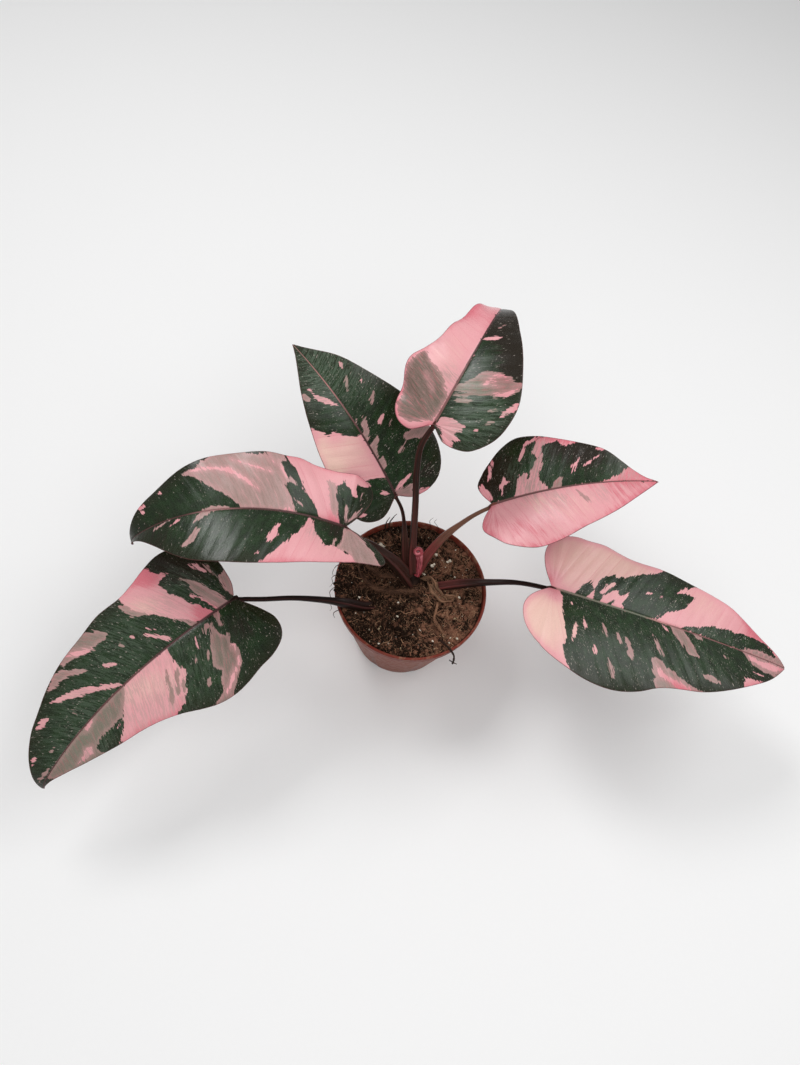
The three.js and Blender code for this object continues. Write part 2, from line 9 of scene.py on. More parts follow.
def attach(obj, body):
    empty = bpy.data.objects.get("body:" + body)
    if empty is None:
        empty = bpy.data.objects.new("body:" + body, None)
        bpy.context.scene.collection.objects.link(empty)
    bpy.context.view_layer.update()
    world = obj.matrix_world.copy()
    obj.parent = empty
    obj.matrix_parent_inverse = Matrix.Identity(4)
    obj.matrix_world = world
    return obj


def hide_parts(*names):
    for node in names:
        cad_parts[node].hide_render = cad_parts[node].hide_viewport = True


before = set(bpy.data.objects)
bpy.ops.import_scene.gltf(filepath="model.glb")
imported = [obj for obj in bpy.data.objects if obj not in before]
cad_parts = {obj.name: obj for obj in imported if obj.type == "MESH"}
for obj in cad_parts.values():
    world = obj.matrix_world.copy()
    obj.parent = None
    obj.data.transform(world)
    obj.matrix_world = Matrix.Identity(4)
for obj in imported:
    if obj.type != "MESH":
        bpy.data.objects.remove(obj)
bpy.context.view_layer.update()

bl_info = {
    "name": "Variegated philodendron",
    "version": (1, 0, 0),
    "blender": (4, 5, 0),
    "location": "3D Viewport > Sidebar > Philodendron",
    "description": "Builds the leaves, stalks, soil and pot of a variegated philodendron",
    "category": "Object",
}

MM = 0.001
BODY = "root"
SHADER = "Principled BSDF"

# How finely curves are read, the fewest rows of a tube, and how far its ends bulge.
CURVE_SAMPLES = 2001
FEWEST_STEPS = 12
END_BULGE = 0.4
# Farther than anything on the plant, and how many points of a margin are measured at a time.
FAR = 1e9
EDGE_CHUNK = 40
# The widest random heading, nearly a whole turn.
TURN = 6.28

# ---- form of the plant, in mm

POT = {
    "height": 90.0, "rim": 60.0, "base": 40.0, "shoulder": 57.0, "collar": 10.0,
    "wall": 1.5, "floor": 1.8, "lip": 2.0, "around": 192,
    "drains": 8, "drain_radius": 4.0, "drain_depth": 12.0, "drain_tilt": 35.0,
}
SOIL = {
    "level": 86.3, "mound": 4.5, "mound_radius": 24.0, "heap": 6.4, "heap_angle": 184.0,
    "heap_width": 34.0, "heap_start": 22.0, "heap_run": 34.0, "spill": 2.9,
    "around": 480, "rings": 78, "gap": 0.8, "bed_around": 96, "bed_rings": 24,
}
CROWN = (0.0, 7.0)

STEM = {
    "route": [(3, -4, 62), (2, 1, 76), (0.5, 5, 88), (-1, 8.5, 97.5)],
    "radii": [5.5, 7, 7.5, 7.2, 6, 4.4, 1.6],
}

# sheath is the share of the stalk that its sheath wraps, and groove the depth of its channel.
PETIOLES = {
    1: {"route": [(-1.2, 8.5, 98.5), (-4, 15, 109), (-7, 27, 131), (-10.5, 39.5, 155),
                  (-14, 51, 177), (-14.5, 61, 194.5)],
        "radii": [3.4, 3.2, 2.7, 2.45, 2.35, 2.2, 1.7], "sheath": 0.3, "groove": 0.28},
    2: {"route": [(-5, 12, 90), (-8.5, 20, 97), (-12.5, 32, 107), (-15.5, 42, 115),
                  (-19.5, 48.2, 124)],
        "radii": [2.9, 3.5, 2.7, 1.45, 1.4, 1.3], "sheath": 0.48, "groove": 0.2},
    3: {"route": [(-0.6, 3.6, 88), (-5, 5.2, 95), (-10, 6.5, 102), (-18.5, 6.8, 115),
                  (-33, 5.8, 133), (-46, 5.2, 143.2)],
        "radii": [5.2, 5.4, 5.2, 4.6, 3, 1.9, 1.7], "sheath": 0.55, "groove": 0.3},
    4: {"route": [(3.2, 12.5, 93), (7.5, 23, 102.5), (17, 35.5, 115.5), (27.5, 43, 128),
                  (36.5, 47, 139.5)],
        "radii": [3.6, 4.0, 3.2, 2.0, 1.6, 1.4], "sheath": 0.5, "groove": 0.28},
    5: {"route": [(7, 3, 78.5), (20.5, 6, 86.3), (38, 9, 94.5), (58, 10.5, 104),
                  (80, 11, 112.5)],
        "radii": [3, 3.6, 3.7, 2.6, 1.9, 1.7], "sheath": 0.52, "groove": 0.22},
    6: {"route": [(-3.5, -3, 73.5), (-18, -15, 80.5), (-32, -23.5, 87.5), (-46, -27, 95.5),
                  (-60, -30, 101), (-84, -36.5, 108), (-104, -44.5, 114)],
        "radii": [3, 3.6, 3.9, 3.7, 2.6, 1.9, 1.8, 1.7], "sheath": 0.48, "groove": 0.22},
}

# How tan each stalk is, the tan being partly a painted highlight, as (share of its length, tone).
STALK_TONES = {
    1: ((0, 0.05), (1, 0.05)),
    2: ((0, 0.1), (0.35, 0.1), (0.5, 0.0), (1, 0.05)),
    3: ((0, 0.1), (0.3, 0.05), (1, 0.0)),
    4: ((0, 0.1), (0.15, 0.35), (0.5, 0.75), (1, 0.8)),
    5: ((0, 0.1), (0.45, 0.0), (1, 0.0)),
    6: ((0, 0.0), (1, 0.0)),
}

# How red the sheathed foot of each stalk is, and how much its whole length is streaked with red.
FOOT_REDS = {1: 0.15, 2: 0.1, 3: 0.03, 4: 0.8, 5: 0.3, 6: 0.0}
RUDDY = {1: 0.85, 2: 0.3, 3: 0.25, 4: 1.0, 5: 0.3, 6: 0.1}

# The young sheath beside the crown, the knob that its tip is rolled into, and a dead sheath.
CATAPHYLL = {
    "route": [(2.6, 7.5, 97), (3, 10.6, 102), (2.4, 13.8, 108), (1.2, 16, 113), (0.2, 17.2, 116)],
    "radii": [2.4, 2.8, 2.4, 2.8, 2.4],
}
KNOB = (-0.5, 17.6, 117)
YOUNG_TONES = ((0, 0), (0.4, 0.05), (0.8, 0.3), (1, 0.7))
DRY_SHEATH = {
    "route": [(8, 10, 91), (13.5, 8, 92), (16.5, 3.5, 91.4), (21, -0.5, 90.2),
              (27, -3.5, 89.2), (32, -2.5, 88.9), (36.5, 0.5, 88)],
    "radii": [1.8, 3.2, 3.8, 3.2, 3.6, 3.0, 1.6],
}
ROOTS = {
    "root_arc": {
        "route": [(-42, 8, 86.5), (-38, 0, 89.8), (-32, -5.5, 90.5), (-20, -8.5, 91),
                  (-8, -6.5, 91.4), (2, -3.5, 90.8), (8.5, 1, 87.5)],
        "radii": [1.5, 1.8, 2, 2.1, 2.1, 2, 1.6]},
    "root_twisted": {
        "route": [(-41, 14, 86.5), (-33, 7.5, 91.6), (-24, 3.5, 92.4), (-17, 5, 92.2),
                  (-11, 4.2, 88)],
        "radii": [1.3, 1.7, 1.9, 1.7, 1.4]},
    "root_thin": {
        "route": [(22.5, -6, 85.5), (22.8, -10, 88.6), (22.6, -16, 89), (22.3, -22.5, 88.8),
                  (26, -27, 88.6), (30.5, -31, 85.6)],
        "radii": [0.9, 1, 1, 1.1, 1.4, 1.1]},
    "root_rim": {
        "route": [(28, -36, 84.8), (33, -41, 89.4), (37.6, -45.4, 91.9), (41.2, -48.6, 90),
                  (42.4, -50.2, 84), (42.6, -50.6, 77)],
        "radii": [0.8, 0.8, 0.75, 0.7, 0.7, 0.6]},
}

# How many of the hairs each root carries.
HAIR_SHARES = {"root_arc": 1.2, "root_twisted": 0.6, "root_thin": 0.2}

# Twigs that belong to a root, then loose ones by the rim, each (route, radius).
TWIGS = {
    "root_rim": [([(39.4, -49.6, 80.6), (42.4, -50.4, 79.6), (45.6, -51.6, 80.4)], 0.45)],
    "root_thin": [([(22.4, -18, 87.6), (25.4, -15, 88.6), (28, -12.5, 87.4)], 0.5)],
    "root_arc": [([(-34, -3.5, 89.5), (-37, -9, 89.6), (-41, -13, 88.6)], 0.6),
                 ([(-14, -8, 90), (-12, -13, 90.6), (-7, -17, 88.4)], 0.5),
                 ([(-43, 18, 91.2), (-43.5, 7, 92.2), (-39, -1.5, 91.9), (-31, -6.5, 91)], 0.9)],
    "root_twisted": [([(-30, 6, 91), (-28, 11, 92.4), (-31, 16, 91)], 0.5)],
}
LOOSE_TWIGS = [
    ([(-22, 44, 87), (-27, 50.5, 90.5), (-25, 55.5, 94.5), (-22.5, 58.5, 97)], 0.55),
    ([(-29, 45, 87), (-29.5, 51.5, 91.2), (-27.4, 56, 94)], 0.5),
    ([(2, 50, 86.5), (6.5, 56.5, 90.8), (5, 60, 93.5), (7.5, 62.5, 96)], 0.22),
    ([(12, 48, 86.5), (13, 56.5, 91), (9, 60.5, 93), (10.5, 62, 95)], 0.2),
    ([(-50, 8, 92), (-56, 6, 94.5), (-60.5, 3, 94), (-62.5, -1, 90.5), (-61.5, -3, 87)], 0.3),
    ([(-51, 2, 92), (-58, -4, 94), (-62, -6, 91), (-60.8, -9, 88), (-62.5, -12, 85.5)], 0.25),
    ([(-50, -10, 92), (-57, -14, 93.6), (-61, -18, 90), (-59.5, -22, 87), (-61, -24, 84)], 0.28),
    ([(-49, -16, 92), (-55, -23, 93), (-58.6, -26, 90), (-57, -30, 87.5), (-58, -31, 84.5)], 0.25),
    ([(-46, -22, 91), (-50, -31, 92.4), (-54.5, -34.5, 89.6), (-53, -37, 86.5)], 0.3),
    ([(-52, 14, 91), (-57, 17, 93.6), (-60.5, 20, 91), (-59.4, 22, 87.6)], 0.22),
]

# The largest grains of perlite on the soil, each (x, y, half length).
PERLITE = [
    (-30.1, 32.6, 1.7), (-28.2, 31.4, 1.1), (15.1, 33.3, 1.3), (27.1, 30.5, 1.2), (38.9, 0.4, 0.9),
    (42.2, -34.0, 0.9), (13.6, 22.0, 1.3), (14.9, 24.0, 0.9), (8.5, 12.5, 0.8), (25.3, 29.0, 0.9),
    (-6.0, -26.0, 0.8), (-38.0, -18.0, 0.8), (24.0, -40.0, 0.9), (33.0, 17.0, 0.7),
]
PERLITE_TONES = ((0, 0.8), (1, 0.8))

# A blade lies along a midrib that starts at base and runs for length. heading and pitch are its
# direction at the base, turn and droop their change by the tip, and hook bends the last tenth.
# bank tips it about the midrib, and fold is the rise of each half at the base and at the tip.
# left and right are its outline as pairs (along the midrib,half width), from notch to tip.
BLADES = {
    1: {
        "base": (-9, 72, 206), "length": 140, "heading": 68, "turn": 12, "pitch": 32,
        "droop": -82, "power": 1.5, "bank": -4, "twist": -2, "fold": (18, 8), "curl": 0.008,
        "hook": 0, "wave": ((2.6, 4.5, 0.6), (1.4, 3.5, 0.2)),
        "left": "-2,3 -7,8 -11,14 -10,22 -5,28 3,32 14,34 27,38 38,38 50,33 62,26 78,23 92,20 106,17 "
                "120,12 131,6 140,0",
        "right": "-2,3 -5,8 -8,14 -8,23 -5,33 2,40 12,46 24,48 36,47 48,43 61,37 75,30 90,23 106,16 "
                 "120,10 131,5 140,0",
    },
    2: {
        "base": (-26, 53, 134), "length": 138, "heading": 140, "turn": 7, "pitch": 42,
        "droop": -28, "power": 1, "bank": -10, "twist": 0, "fold": (16, 8), "curl": 0.006,
        "hook": 0, "wave": ((1.2, 3, 0.1), (1.4, 3.5, 0.4)),
        "left": "-2,4 -6,10 -9,18 -8,26 -4,33 3,38 14,42 28,42 44,39 60,36 75,32 90,27 105,20 118,12 "
                "129,5 138,0",
        "right": "-2,3 -7,11 -8,19 -7,26 -3,34 4,41 13,46 24,49 38,49 52,47 66,42 82,35 98,27 112,19 "
                 "124,10 132,4 138,0",
    },
    3: {
        "base": (-56, 5, 156), "length": 170, "heading": 191, "turn": 12, "pitch": 33,
        "droop": -86, "power": 1.4, "bank": -1, "twist": -3, "fold": (20, 8), "curl": 0.006,
        "hook": -45, "wave": ((1.4, 3, 0.3), (2.2, 4.5, 0.1)),
        "left": "-4,1.5 -13,4.5 -22,9 -29,15 -32,21 -28,26 -15,29 2,33 20,37 38,39 56,41 76,42 95,40 "
                "112,35 127,26 141,15 152,7 162,2.5 170,0",
        "right": "-2,2 -8,9 -14,17 -18,25 -18,33 -12,38 -2,40 12,38 26,40 38,43 50,41.5 64,43 80,43 "
                 "94,41 108,36 122,31 136,25 149,17 160,8 170,0",
    },
    4: {
        "base": (47, 51, 152), "length": 124, "heading": 19, "turn": -8, "pitch": 28,
        "droop": -30, "power": 1, "bank": 3, "twist": 0, "fold": (16, 8), "curl": 0.006,
        "hook": 0, "wave": ((1.2, 3, 0), (1.4, 3, 0.5)),
        "left": "-2,3 -6,10 -7,17 -2,24 6,33 15,41 26,46 38,45 50,42 64,37 77,31 88,25 98,16 106,9 115,3 "
                "124,0",
        "right": "-2,2 -8,9 -11,16 -10,22 -4,29 3,36 13,41 25,44 38,43 51,40 64,35 78,29 92,22 105,14 "
                 "115,7 124,0",
    },
    5: {
        "base": (104, 8, 122), "length": 194, "heading": -8, "turn": 6, "pitch": 2,
        "droop": -20, "power": 1.3, "bank": -6, "twist": 0, "fold": (16, 8), "curl": 0.006,
        "hook": -10, "wave": ((1.6, 4, 0.2), (1.8, 4, 0)),
        "left": "-3,4 -9,14 -12,26 -10,37 -3,45 8,49 20,49 34,51 46,49 60,46 80,45 100,44 118,41 135,35 "
                "152,27 168,19 182,10 194,0",
        "right": "-3,2 -10,9 -16,18 -18,28 -14,40 -4,51 10,60 26,66 42,68 57,67 72,63 86,56 102,51 "
                 "120,46 140,38 160,27 178,15 194,0",
    },
    6: {
        "base": (-125, -52, 121), "length": 190, "heading": 229, "turn": 14, "pitch": -3,
        "droop": -41, "power": 2, "bank": -14, "twist": -10, "fold": (16, 8), "curl": 0.005,
        "hook": -35, "wave": ((1.6, 4, 0.4), (1.8, 4.5, 0.1)),
        "left": "-3,4 -8,12 -13,21 -16,29 -15,38 -10,45 0,50 13,52 27,55 40,56 53,54 65,49 78,42 92,36 "
                "107,31 122,27 137,22 152,16 166,9 178,3 190,0",
        "right": "-2,3 -5,10 -6,19 -6,28 -3,38 3,47 12,53 24,56 36,54 48,50 60,47 76,47 92,44 108,41 "
                 "124,36 140,30 154,25 167,18 178,10 190,0",
    },
}

# Side veins: how far they slant, and how far they bend towards the tip.
VEIN_SLANT = 0.45
VEIN_ARCH = 0.3
# Points along a margin and along its notch, and steps of a blade's mesh and of its midrib.
EDGE_SAMPLES = 400
SINUS_SAMPLES = 40
GRID_STEP = 1.4
RIB_STEP = 2.0
# How deep a stalk ends below its blade, and the radius that the grain of stalks is laid on.
SEAT = 2.5
GRAIN_RADIUS = 2.5

# Colour sectors of each blade, painted in order over green, as (kind, outline) with the outline
# as pairs (along the midrib,to the left). pink is bare of green, grey a thin green over pink.
SECTORS = {
    1: [
        ("pink", "-14,0 -14,44 142,44 142,0"),
        ("grey", "2,2.5 -3,10 -6.5,17 -6.5,23.5 -3,28 3,30 9,31 14,32.3 20,35 27,36.5 34,36.5 40,35 "
                 "45,32 43.5,29 40,25 38,21 36,17 33,11 30,9 27,4 20,1.5 8,1.5"),
        ("pink", "1,-2 -1,-8 -5,-11 -9.5,-15 -9,-21 -7.5,-22 -5,-19 -3.5,-22 -1.5,-24 0,-22 1.5,-18 "
                 "3,-20 4.5,-22.5 7,-20 8,-22 9,-20 9.5,-12 8,-3"),
        ("grey", "27,-1 33,-1 38,-8 44,-11 48,-14 50,-20 52,-24 51,-36 51,-44 46,-42 41,-39 38,-36 "
                 "35.5,-31 34,-24 31,-19 30,-14"),
        ("pink", "35.5,-31 37,-28 40,-33 44,-37 48,-41 44,-40 38,-37"),
        ("pink", "25,-40 28,-38.5 33,-42 37,-46 34,-47 28,-43.5"),
    ],
    2: [
        ("pink", "16,0 19,7 22.5,13 22,17.5 18.5,15.5 17.5,19 21,20 25,24.5 24,26.5 18,28 15.5,30 "
                 "17.5,32.5 26,32 35,35 38,44 60,42 79.5,30.5 73,26 67,22.5 68,18 63,14.5 58,10 54.5,5 "
                 "54,0"),
        ("grey", "96,20 99,22 104,20 103,18.5 98,18"),
        ("grey", "-1,-1 3,-2 3,-8 2.5,-16 0,-14 -8,-13 -5,-8"),
        ("pink", "-8.5,-16 -4.5,-19 -5,-24 -7,-29 -9,-22"),
        ("grey", "22,0 31,0 31.5,-5 28,-5 24,-3.5"),
        ("grey", "34,0 43,0 46,-5 46.5,-9.5 44,-9 41,-5 37,-3"),
        ("grey", "46,0 52,0 60,-4 64,-7.5 64,-9.5 60,-9 55,-6 50,-4"),
        ("grey", "29,-51 29,-38 32,-31 34,-26 36.5,-27 38,-33 40,-51"),
    ],
    3: [
        ("grey", "-30,27 -25,25 -22,18 -16,11 -11,5 -4,2 0,2 3,5 4,10 6,15 8,19 12,23 5,24 0,26 -2,29 "
                 "-5,33 -20,31"),
        ("pink", "-2,29 -5,33 10,40 20,43 69,46 66,41 60,36 52,29 45,22 38,14.5 33,8 30.5,2 27,2 27.5,8 "
                 "27,12 24,17 22,22 20,23.5 14,21 10,22.5 0,26"),
        ("pink", "51,12 53,11 57,16 60,21 61.5,25 61,27 58,26 55,23 53.5,19 53.5,15"),
        ("grey", "105,14 108,13 111,16 114,20 119,23 116,24 110,22.5 107.5,20 107.5,17"),
        ("grey", "84,-1 95,-2.5 103,-1 106,3 109.5,8 104,5 97,1"),
        ("pink", "4,0 20,0 23,-2 25,-6 28,-11 32,-15.5 36.5,-19.5 38,-25 41,-31 45,-35 49,-39 50,-45 "
                 "-14,-44 -14,-35 -5,-33.5 5,-33.5 8,-31 12,-27 12,-23 10,-15 8,-8"),
        ("grey", "8,-4 13,-8 16,-15 17,-22 20,-30 13,-29 12,-24 10,-16"),
        ("pink", "-5,-23.5 -1,-23 1.5,-27 9,-33 -2,-34 -3,-29"),
        ("grey", "40,0 78,0 82,-5 87,-10 95,-16 103,-22 108,-27 115,-28.5 110,-31 103,-33 102,-36 95,-42 "
                 "80,-46 50,-44 50,-38 52,-36 50,-31 48,-26 46,-22.5 48,-20 48,-17 46,-13 42.5,-10 43,-7"),
        ("pink", "40,0 50,0 47,-4 43,-4"),
        ("pink", "66,-14 72,-18 85,-27 95,-30 113,-29 105,-32 92,-31.5 84,-30.5 78,-26 72,-21"),
        ("pink", "46,-22.5 50,-26 54,-32 58,-36 52,-33 48,-27"),
        ("green", "60,-39 62,-40 68,-41.5 74,-42 74,-46 62,-46"),
    ],
    4: [
        ("pink", "-14,0 126,0 126,-50 -14,-50"),
        ("pink", "-7,16 -4,17 -2,15 0,10 1,4 -3,2 -7,8"),
        ("pink", "8,3 9,8 8,11.5 11,15 12.5,18 14,15 16,13 13,10.5 11,11 9.5,5"),
        ("pink", "16,0 20,7 22,13 27,16.5 29,15 30,12 33,17 36,22 38,26 38,30 36,32 39,37 41,41 46,43 "
                 "58,41 57,38.5 49,37 43,35 43,31 42,21 40,16 37,12 38,8 41,5 42,0"),
        ("grey", "45,0 47,4 50,7 55,9 53,4 52,0"),
        ("pink", "56,42 73,36 66,33.5 58,34 55,38"),
        ("pink", "82,0 90,3 97,5.5 99,9 104,12 115,7 126,0"),
    ],
    5: [
        ("pink", "-20,0 -20,60 196,60 196,0"),
        ("green", "17,0 20,7 23,11 26,12.5 28,15.5 30,8 29,5 27,0"),
        ("green", "31,0 31,6 32,12 33,17 36,21 40,24 44,27.5 46,24.5 54,28 62,33.5 70,37 77,39.5 86,46 "
                  "113,46 113,41 103,36 97,31 95,29 105,32 112,31.5 106,23 101,17 95,13 88,9 84,5 80,0"),
        ("pink", "35,7.5 37,12 42,18 46,21 45.5,17 41,11 38,8"),
        ("pink", "37,0 38.5,6 44,11 48.5,15 49,9 54,12 57.5,15 56,9 54,6 56,0"),
        ("green", "41,0 45,4 48,6 46,0"),
        ("green", "100,0 104,3.5 112,5.5 120,8.5 128,12.5 131,10.5 138,13 147,12.5 155,14 165,14.5 "
                  "175,13.5 180,10 184,5 180,4.5 168,5.5 158,4 151,0"),
        ("grey", "150,0 158,4 168,5.5 180,4.5 184,6 196,3 196,0"),
        ("pink", "-22,0 5,0 8,-5 9.5,-12 10.5,-20 13,-30 15,-38 17,-46 15,-50 17,-56 21,-61 27,-70 "
                 "-22,-70"),
        ("grey", "93,0 101,0 105,-4 108,-9 112,-15 115,-20 112,-21 107,-20.5 103,-16 98,-11 94,-5"),
        ("grey", "79,-35 82,-33 86,-35 90,-40 95,-39.5 101,-43 110,-45.5 120,-46 105,-55 86,-60 82,-52 "
                 "83,-49 80,-45 80,-41 78,-38"),
        ("pink", "80,-38 85,-42 92,-45 100,-46.5 114,-47 102,-53 92,-50 84,-46"),
        ("pink", "151,-24.5 160,-23 169,-21 158,-31 151,-34"),
        ("grey", "152,0 156,-5 160,-9 170,-12.5 180,-12 194,-2 194,0"),
        ("pink", "157,-2 168,-2.5 180,-2 194,-1 186,-6 176,-9 166,-8 159,-6"),
    ],
    6: [
        ("grey", "14,0 18,0 19.5,10 18,12 16,9"),
        ("grey", "20,0 25,8 30,14 35,23 40,31 40,34 37,37 40,42 44,48 50,51 57,52.5 52,60 42,56 34,50 "
                 "27,45 21,40 19,34 19,26 17,18 20,19.5 23,16 23,9"),
        ("pink", "20,36 24,38 30,42 37,46 45,52 40,50.5 32,46 24,42"),
        ("pink", "57,0 66,0 95,0 101,8 106,12 108,15.5 111,18 118,22.5 120,24 128,29 110,34 92,42 82,42 "
                 "80,39 72,38 68,35.5 64,32 64,29.5 61,27 58,24 57,20 59,14 58,9"),
        ("grey", "94,0 101,8 106,12 110,15 118,14 130,13.5 137,16 138,19 136,24 150,20 156,15 166,10 "
                 "172,7 178,0"),
        ("pink", "138,13 142,16.5 150,15 156,12 148,12 142,10"),
        ("pink", "122,1 128,3 134,3 132,0 124,0"),
        ("grey", "3,0 12,0 14,-5 16,-10 19,-17 21,-23 19,-26 23,-34 19,-31 15,-26 12,-21 10,-14 6,-8"),
        ("pink", "13,0 16,-6 19,-14 20,-17 18,-15 15,-8 12,0"),
        ("grey", "-2,0 1,-8 0,-20 -6,-20 -6,-10"),
        ("pink", "16,0 27,0 31,-3 36,-8 41,-13 44,-18 49,-23 54,-27 58,-31 60,-36 60,-50 50,-54 36,-56 "
                 "33,-46 27,-41 33,-39.5 35,-38.5 34,-33 33,-28 29,-23 27,-18 24,-12 20,-6"),
        ("grey", "30,0 35,-2 38,-7 41,-12 37,-9 33,-4"),
        ("grey", "52,-26 57,-29 61,-33 63,-38 63,-42 60,-41 58,-34"),
        ("pink", "94,0 97,-2 103,-6 110,-11 118,-16 124,-20 131.5,-27 127,-26.5 120,-23 113,-18 106,-13 "
                 "100,-8 95,-4"),
        ("grey", "102,-24 107,-26 111,-30 118,-31.5 128,-33 120,-38 113,-37 110,-33 105,-28"),
        ("grey", "79,-34 83,-31 86,-33 93,-31.5 102,-36 110,-38 112,-44 92,-48 83,-40 81,-37"),
        ("pink", "90,-31.5 96,-32.5 102,-36 107,-42 100,-40 94,-36"),
        ("pink", "140,-22 144,-20.5 149,-21.5 150,-24 143,-25"),
    ],
}

# Single streaks along the side veins: (kind, its two ends as such pairs, half width).
STREAKS = {
    1: [("grey", "20,-2 27,-20", 1.2), ("grey", "16,-34 19,-38", 0.9), ("grey", "24,-2 29,-13", 0.9),
        ("grey", "24,-30 29,-38", 0.8), ("pink", "43,-15 49,-33", 1.1), ("pink", "47,-18 51,-30", 1.0),
        ("pink", "39,-17 44,-30", 0.8), ("pink", "73,-1 79,-13", 1.5), ("pink", "9,-29 11,-31", 0.8),
        ("grey", "88,-7 96,-12", 0.7), ("pink", "21,13 30,23", 0.6), ("pink", "24,3 28,8", 0.6)],
    2: [("pink", "81,3 97,14", 2.0), ("pink", "94,13.5 105,13.5", 0.5), ("grey", "3,41 8,31", 1.0),
        ("grey", "10,31 18,24", 1.0), ("pink", "5,4 8.5,11", 1.3), ("pink", "3,-1 10,-18", 1.0),
        ("pink", "53,-15 58,-22", 1.1), ("grey", "68,-18 75,-26", 1.0), ("grey", "86,-9 96,-16", 1.2),
        ("pink", "101,-17 106,-17.5", 0.9), ("grey", "47,-20 51.5,-25", 0.9),
        ("grey", "28,-17 32,-27", 0.8), ("pink", "84,-21 87,-23.5", 0.8), ("grey", "62,0 66,-3", 0.8),
        ("grey", "5,44 14,38.5", 0.8), ("pink", "0,29 1.5,33", 0.8)],
    3: [("grey", "10.5,14 14.5,23", 0.7), ("pink", "119,2.5 127,6", 0.7),
        ("grey", "126,0.5 141,4.5", 0.8), ("grey", "-10,-17 -1,-4", 0.9), ("grey", "1,-3 2.5,-16", 0.7),
        ("grey", "-8,-20 -8,-30", 0.7), ("grey", "35,-6 44,-11", 0.6), ("pink", "144,-16 151,-16.5", 1.1),
        ("pink", "129,-21 134,-21.5", 0.7), ("pink", "57,-27 84,-38", 0.8),
        ("grey", "41,-20 46,-26", 0.7), ("pink", "66,33 69,36", 0.9), ("pink", "150,-3 153,-3.5", 0.6),
        ("pink", "145,-12 147,-13", 0.7)],
    4: [("pink", "1,18 8,34", 1.3), ("pink", "26,26 33,39", 1.3), ("pink", "31,38 46,44", 1.4),
        ("pink", "61,10 69,22", 1.4), ("pink", "70,14 82,21", 1.5), ("pink", "81,27 88,26", 0.9),
        ("grey", "62,-4 71,-19", 0.9)],
    5: [("pink", "21,-26 22,-43", 1.4), ("pink", "26,-19 29.5,-31", 1.0),
        ("pink", "37,-39 38.5,-47", 0.9), ("grey", "40,-19 45,-30", 1.1), ("grey", "52,-24 56,-32", 0.8),
        ("grey", "59,-25 65,-42", 1.9), ("grey", "48,-46 54,-59", 1.1), ("grey", "78,-15 87,-31", 1.0),
        ("grey", "111,-1 118,-3.5", 1.3), ("grey", "118,-34 131,-35.5", 2.2), ("pink", "84,0 90,-7", 0.8),
        ("pink", "160,-16 169,-16.5", 0.8), ("pink", "70,19 75,21.5", 1.0),
        ("pink", "81,19 84.5,23", 0.7), ("pink", "15,-8 17,-12", 0.9), ("grey", "135,-11 138,-13", 1.0)],
    6: [("grey", "26,4 31,10", 0.9), ("pink", "37.5,7 40.5,15", 1.2), ("grey", "36,20 40,25", 1.0),
        ("grey", "45,17 48,22.5", 0.9), ("grey", "47,36 52,40", 1.6), ("grey", "2,-22 3.5,-32", 0.7),
        ("pink", "5,-27 12,-40", 1.5), ("pink", "21,-16 23,-20", 0.8), ("pink", "51,-2 56,-9", 1.1),
        ("pink", "56,-9 63,-18", 0.9), ("pink", "55,-15 59,-19.5", 1.4), ("pink", "87,-13 95,-20.5", 1.1),
        ("pink", "67,-20 70,-22", 0.9), ("grey", "76,-19 79,-23.5", 0.9), ("grey", "154,-7 158,-7", 1.0),
        ("grey", "126,-10 128,-13", 0.9), ("pink", "166,-14 173,-12.5", 0.9),
        ("grey", "170,-2 182,-3.5", 0.9), ("pink", "110,16 118,18", 0.6), ("pink", "19,26 21,33", 1.4),
        ("grey", "62,17 71,31", 1.5), ("grey", "60,22 68,33", 1.0), ("grey", "70,20 80,34", 1.2),
        ("grey", "66,12 72,20", 0.8)],
}

# How thickly each blade is flecked, how strongly its pink is marbled, and its grey with rose.
FLECKS = {1: 0.8, 2: 1.25, 3: 0.5, 4: 0.9, 5: 1.5, 6: 1.0}
MARBLING = {1: 1.2, 2: 0.7, 3: 1.0, 4: 3.0, 5: 0.9, 6: 1.5}
MARKS = {1: 0.75, 2: 0.2, 3: 0.25, 4: 0.9, 5: 0.5, 6: 0.6}

# How dark each blade's grey is, to the left and to the right of the midrib.
VEILS = {1: (0.72, 0.6), 2: (0.4, 0.45), 3: (0.2, 0.2), 4: (0.4, 0.3), 5: (0.4, 0.42),
         6: (0.62, 0.45)}

# How pale the midrib is, as (along the midrib, share of pale); above 1 it turns grey green.
RIB_TONES = {
    1: ((0, 0.55), (45, 0.35), (60, 0.1), (140, 0.1)),
    2: ((0, 0.1), (50, 0.1), (75, 0.45), (100, 1.1), (138, 1.5)),
    3: ((0, 0.1), (75, 0.15), (85, 0.5), (105, 0.5), (115, 0.15), (170, 0.2)),
    4: ((0, 0.35), (60, 0.25), (124, 0.5)),
    5: ((0, 0.3), (8, 1.7), (70, 1.9), (95, 0.5), (194, 0.4)),
    6: ((0, 0.1), (60, 0.15), (80, 0.3), (190, 0.2)),
}
